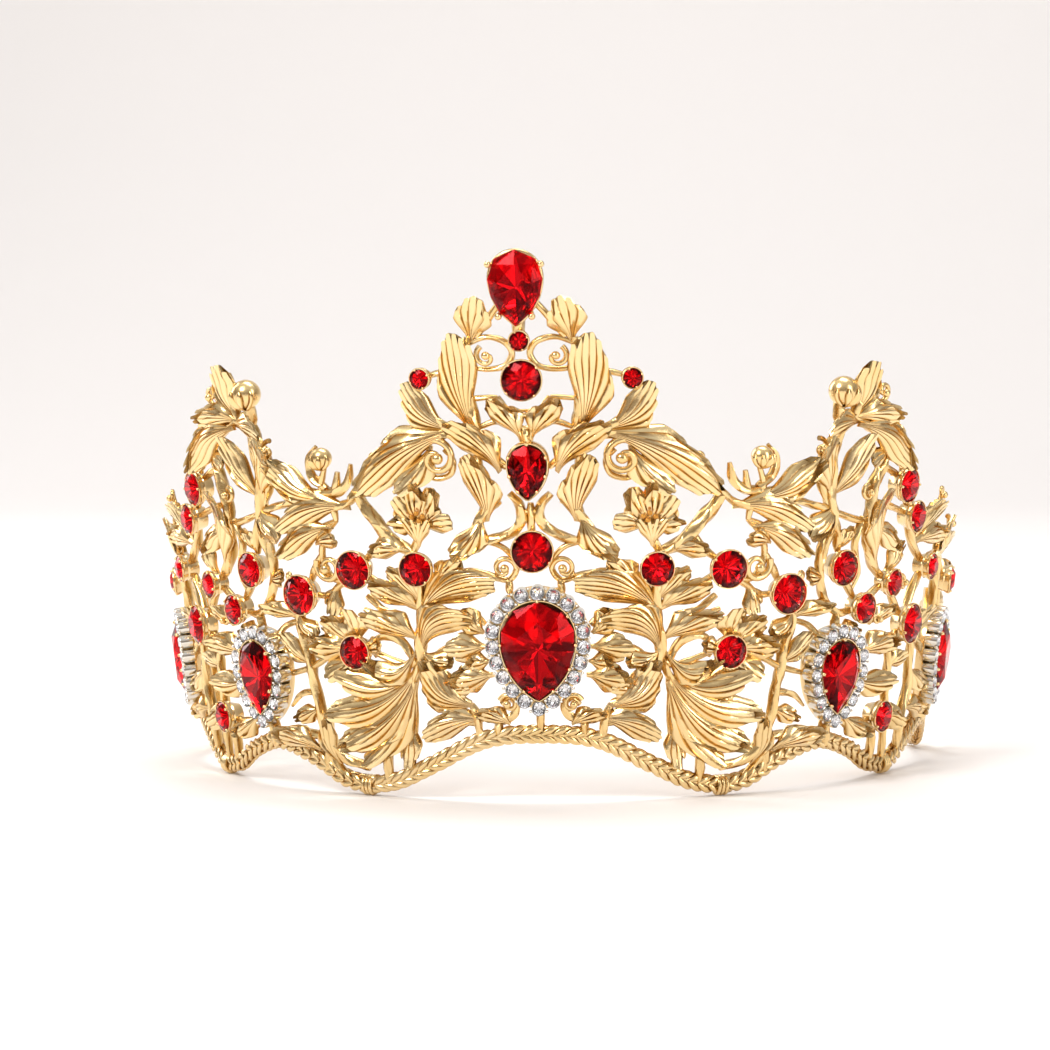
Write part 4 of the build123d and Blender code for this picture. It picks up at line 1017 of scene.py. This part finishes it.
# Medallions: a great pear in a bezel inside a row of clear stones in cups
for which, (s, h, width, length, count) in MEDALLIONS.items():
    for prefix, hand in {"": 1}.items() if which == "centre" else HANDS.items():
        place, edge = setting_frame(hand * s, h), pear_edge(width, length)
        metalwork, gems, halo, cups = Shape(), Shape(), Shape(), Shape()
        bezel(metalwork, place, edge, SETTING_BACK, MEDALLION_FRONT, 56, 0.2)
        claws(metalwork, place, edge, MEDALLION_FRONT + 0.1, 9, 0.38, PEAR_TURN)
        # the plate behind the halo
        tube_wall(metalwork, place, [
            [(x, y, out) for x, y in outline(edge, 56, grown)]
            for grown, out in ((0.3, -0.6), (0.3, 0.9), (2.3, 0.9), (2.3, 0.3), (1.9, -0.6))
        ])
        high = MEDALLION_FRONT + 0.1
        stone(gems, place, edge, high, width * 0.13, width * 0.2, 6, 0.62, PEAR_TURN)
        for number, (x, y) in enumerate(outline(edge, count, HALO_OFFSET, PEAR_TURN)):
            centre = set_point(place, x, y, 0)
            spot = (centre, place[1], place[2], place[3])
            stone(halo, spot, round_edge(HALO_SIZE), HALO_FRONT, 0.42, 0.42, 8, 0.55, number * 0.5)
            tube_wall(cups, spot, [
                [(r * cos(b), r * sin(b), out) for b in (2 * pi * j / 18 for j in range(18))]
                for r, out in ((1.16, 0.8), (1.16, 3.05), (1.26, 3.1), (1.3, 2.9), (1.24, 0.8))
            ])
        # two beads between each cup and the next
        for x, y in outline(edge, count * 2, HALO_OFFSET, PEAR_TURN)[1::2]:
            run = hypot(x, y)
            for reach in (0.95, -0.95):
                grow = 1 + reach / run
                bead(cups, place, x * grow, y * grow, HALO_FRONT - 0.05, 0.3, 1.2)
        base = f"{prefix}{which}_medallion"
        metalwork.make(base + "_bezel", "setting_gold", [setting_gold], [base + "_mount"])
        cups.make(base + "_cups", "setting_gold", [halo_silver], [])
        gems.make(base + "_cut", "red_glass", RED_CUT, [base + "_stone"], smooth=False)
        halo.make(base + "_halo_cut", "clear_glass", CLEAR_CUT, [base + "_halo"], smooth=False)

# The end posts are shown as they are in the CAD
for prefix in HANDS:
    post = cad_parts[prefix + "end_post"]
    post.data.materials.clear()
    post.data.materials.append(post_gold)


# The floor, lights and camera, in metres. The floor turns up into a wall behind the crown
FLOOR_REACH, FLOOR_DROP = 20.0, 0.0006
BEND_START, BEND_RADIUS, WALL_TOP = 0.9, 0.5, 2.6
paper = bpy.data.materials.new("studio_paper")
paper.use_nodes = True
surface = paper.node_tree.nodes["Principled BSDF"]
surface.inputs["Base Color"].default_value = (0.90, 0.875, 0.865, 1)
surface.inputs["Roughness"].default_value = 0.7

sweep_mesh = bpy.data.meshes.new("sweep")
profile = [(-FLOOR_REACH, 0.0), (BEND_START, 0.0)]
for i in range(1, 11):
    a = pi / 2 * i / 10
    profile.append((BEND_START + BEND_RADIUS * sin(a), BEND_RADIUS - BEND_RADIUS * cos(a)))
profile.append((BEND_START + BEND_RADIUS, WALL_TOP))
sweep_mesh.from_pydata(
    [(x, y, z - FLOOR_DROP) for y, z in profile for x in (-FLOOR_REACH, FLOOR_REACH)], [],
    [(2 * i, 2 * i + 1, 2 * i + 3, 2 * i + 2) for i in range(len(profile) - 1)],
)
sweep_mesh.polygons.foreach_set("use_smooth", [True] * len(sweep_mesh.polygons))
sweep_mesh.materials.append(paper)
sweep = bpy.data.objects.new("sweep", sweep_mesh)
bpy.context.scene.collection.objects.link(sweep)


def softbox(name, place, aim, size, power, colour=(1, 1, 1)):
    """A rectangular area light at a place, turned to an aim."""
    light = bpy.data.lights.new(name, "AREA")
    light.shape = "RECTANGLE"
    light.size, light.size_y = size
    light.energy = power
    light.color = colour
    lamp = bpy.data.objects.new(name, light)
    bpy.context.scene.collection.objects.link(lamp)
    lamp.location = place
    lamp.rotation_euler = (Vector(aim) - Vector(place)).to_track_quat("-Z", "Y").to_euler()


MIDDLE = (0, 0, 0.045)
softbox("key", (-0.55, -0.75, 0.85), MIDDLE, (0.4, 0.4), 8, (1, 0.985, 0.95))
softbox("fill", (0.85, -0.6, 0.35), MIDDLE, (0.25, 0.8), 3.2, (1, 0.97, 0.93))
softbox("top", (0.1, 0.15, 1.1), MIDDLE, (0.7, 0.35), 5)
softbox("back_left", (-0.8, 0.5, 0.5), MIDDLE, (0.3, 0.7), 3)
softbox("wash", (0, 0.3, 1.25), (0, 1.45, 0.55), (1.8, 0.3), 3)

# The studio that the metal mirrors: pale, and dusky at eye level
world = bpy.data.worlds.new("studio")
bpy.context.scene.world = world
world.use_nodes = True
nodes, links = world.node_tree.nodes, world.node_tree.links
backdrop = nodes["Background"]
place = nodes.new("ShaderNodeTexCoord").outputs["Generated"]
split = nodes.new("ShaderNodeSeparateXYZ")
links.new(place, split.inputs["Vector"])
height = nodes.new("ShaderNodeMapRange")
height.inputs["From Min"].default_value = -1.0
height.inputs["From Max"].default_value = 1.0
links.new(split.outputs["Z"], height.inputs["Value"])
sky = nodes.new("ShaderNodeValToRGB")
sky.color_ramp.elements[0].position = 0.3
sky.color_ramp.elements[0].color = (0.75, 0.7, 0.66, 1)
sky.color_ramp.elements[1].position = 0.9
sky.color_ramp.elements[1].color = (1, 1, 1, 1)
dusk = sky.color_ramp.elements.new(0.52)
dusk.color = (0.27, 0.20, 0.15, 1)
links.new(height.outputs["Result"], sky.inputs["Fac"])
links.new(sky.outputs["Color"], backdrop.inputs["Color"])
backdrop.inputs["Strength"].default_value = 0.68

camera_data = bpy.data.cameras.new("camera")
camera_data.sensor_width = 36.0
camera_data.lens = 106.46
camera_data.shift_x = -0.035
camera_data.shift_y = -0.0156
camera_data.clip_start = 0.01
camera_data.clip_end = 20
camera = bpy.data.objects.new("camera", camera_data)
bpy.context.scene.collection.objects.link(camera)
camera.location = Vector((32.4, -598.3, 77.7)) * MM
aim = (Vector((0, 0, 46.3)) * MM - camera.location).to_track_quat("-Z", "Y")
camera.rotation_mode = "QUATERNION"
camera.rotation_quaternion = aim @ Matrix.Rotation(radians(-0.4), 3, "Z").to_quaternion()
bpy.context.scene.camera = camera
bpy.context.scene.view_settings.view_transform = "Standard"
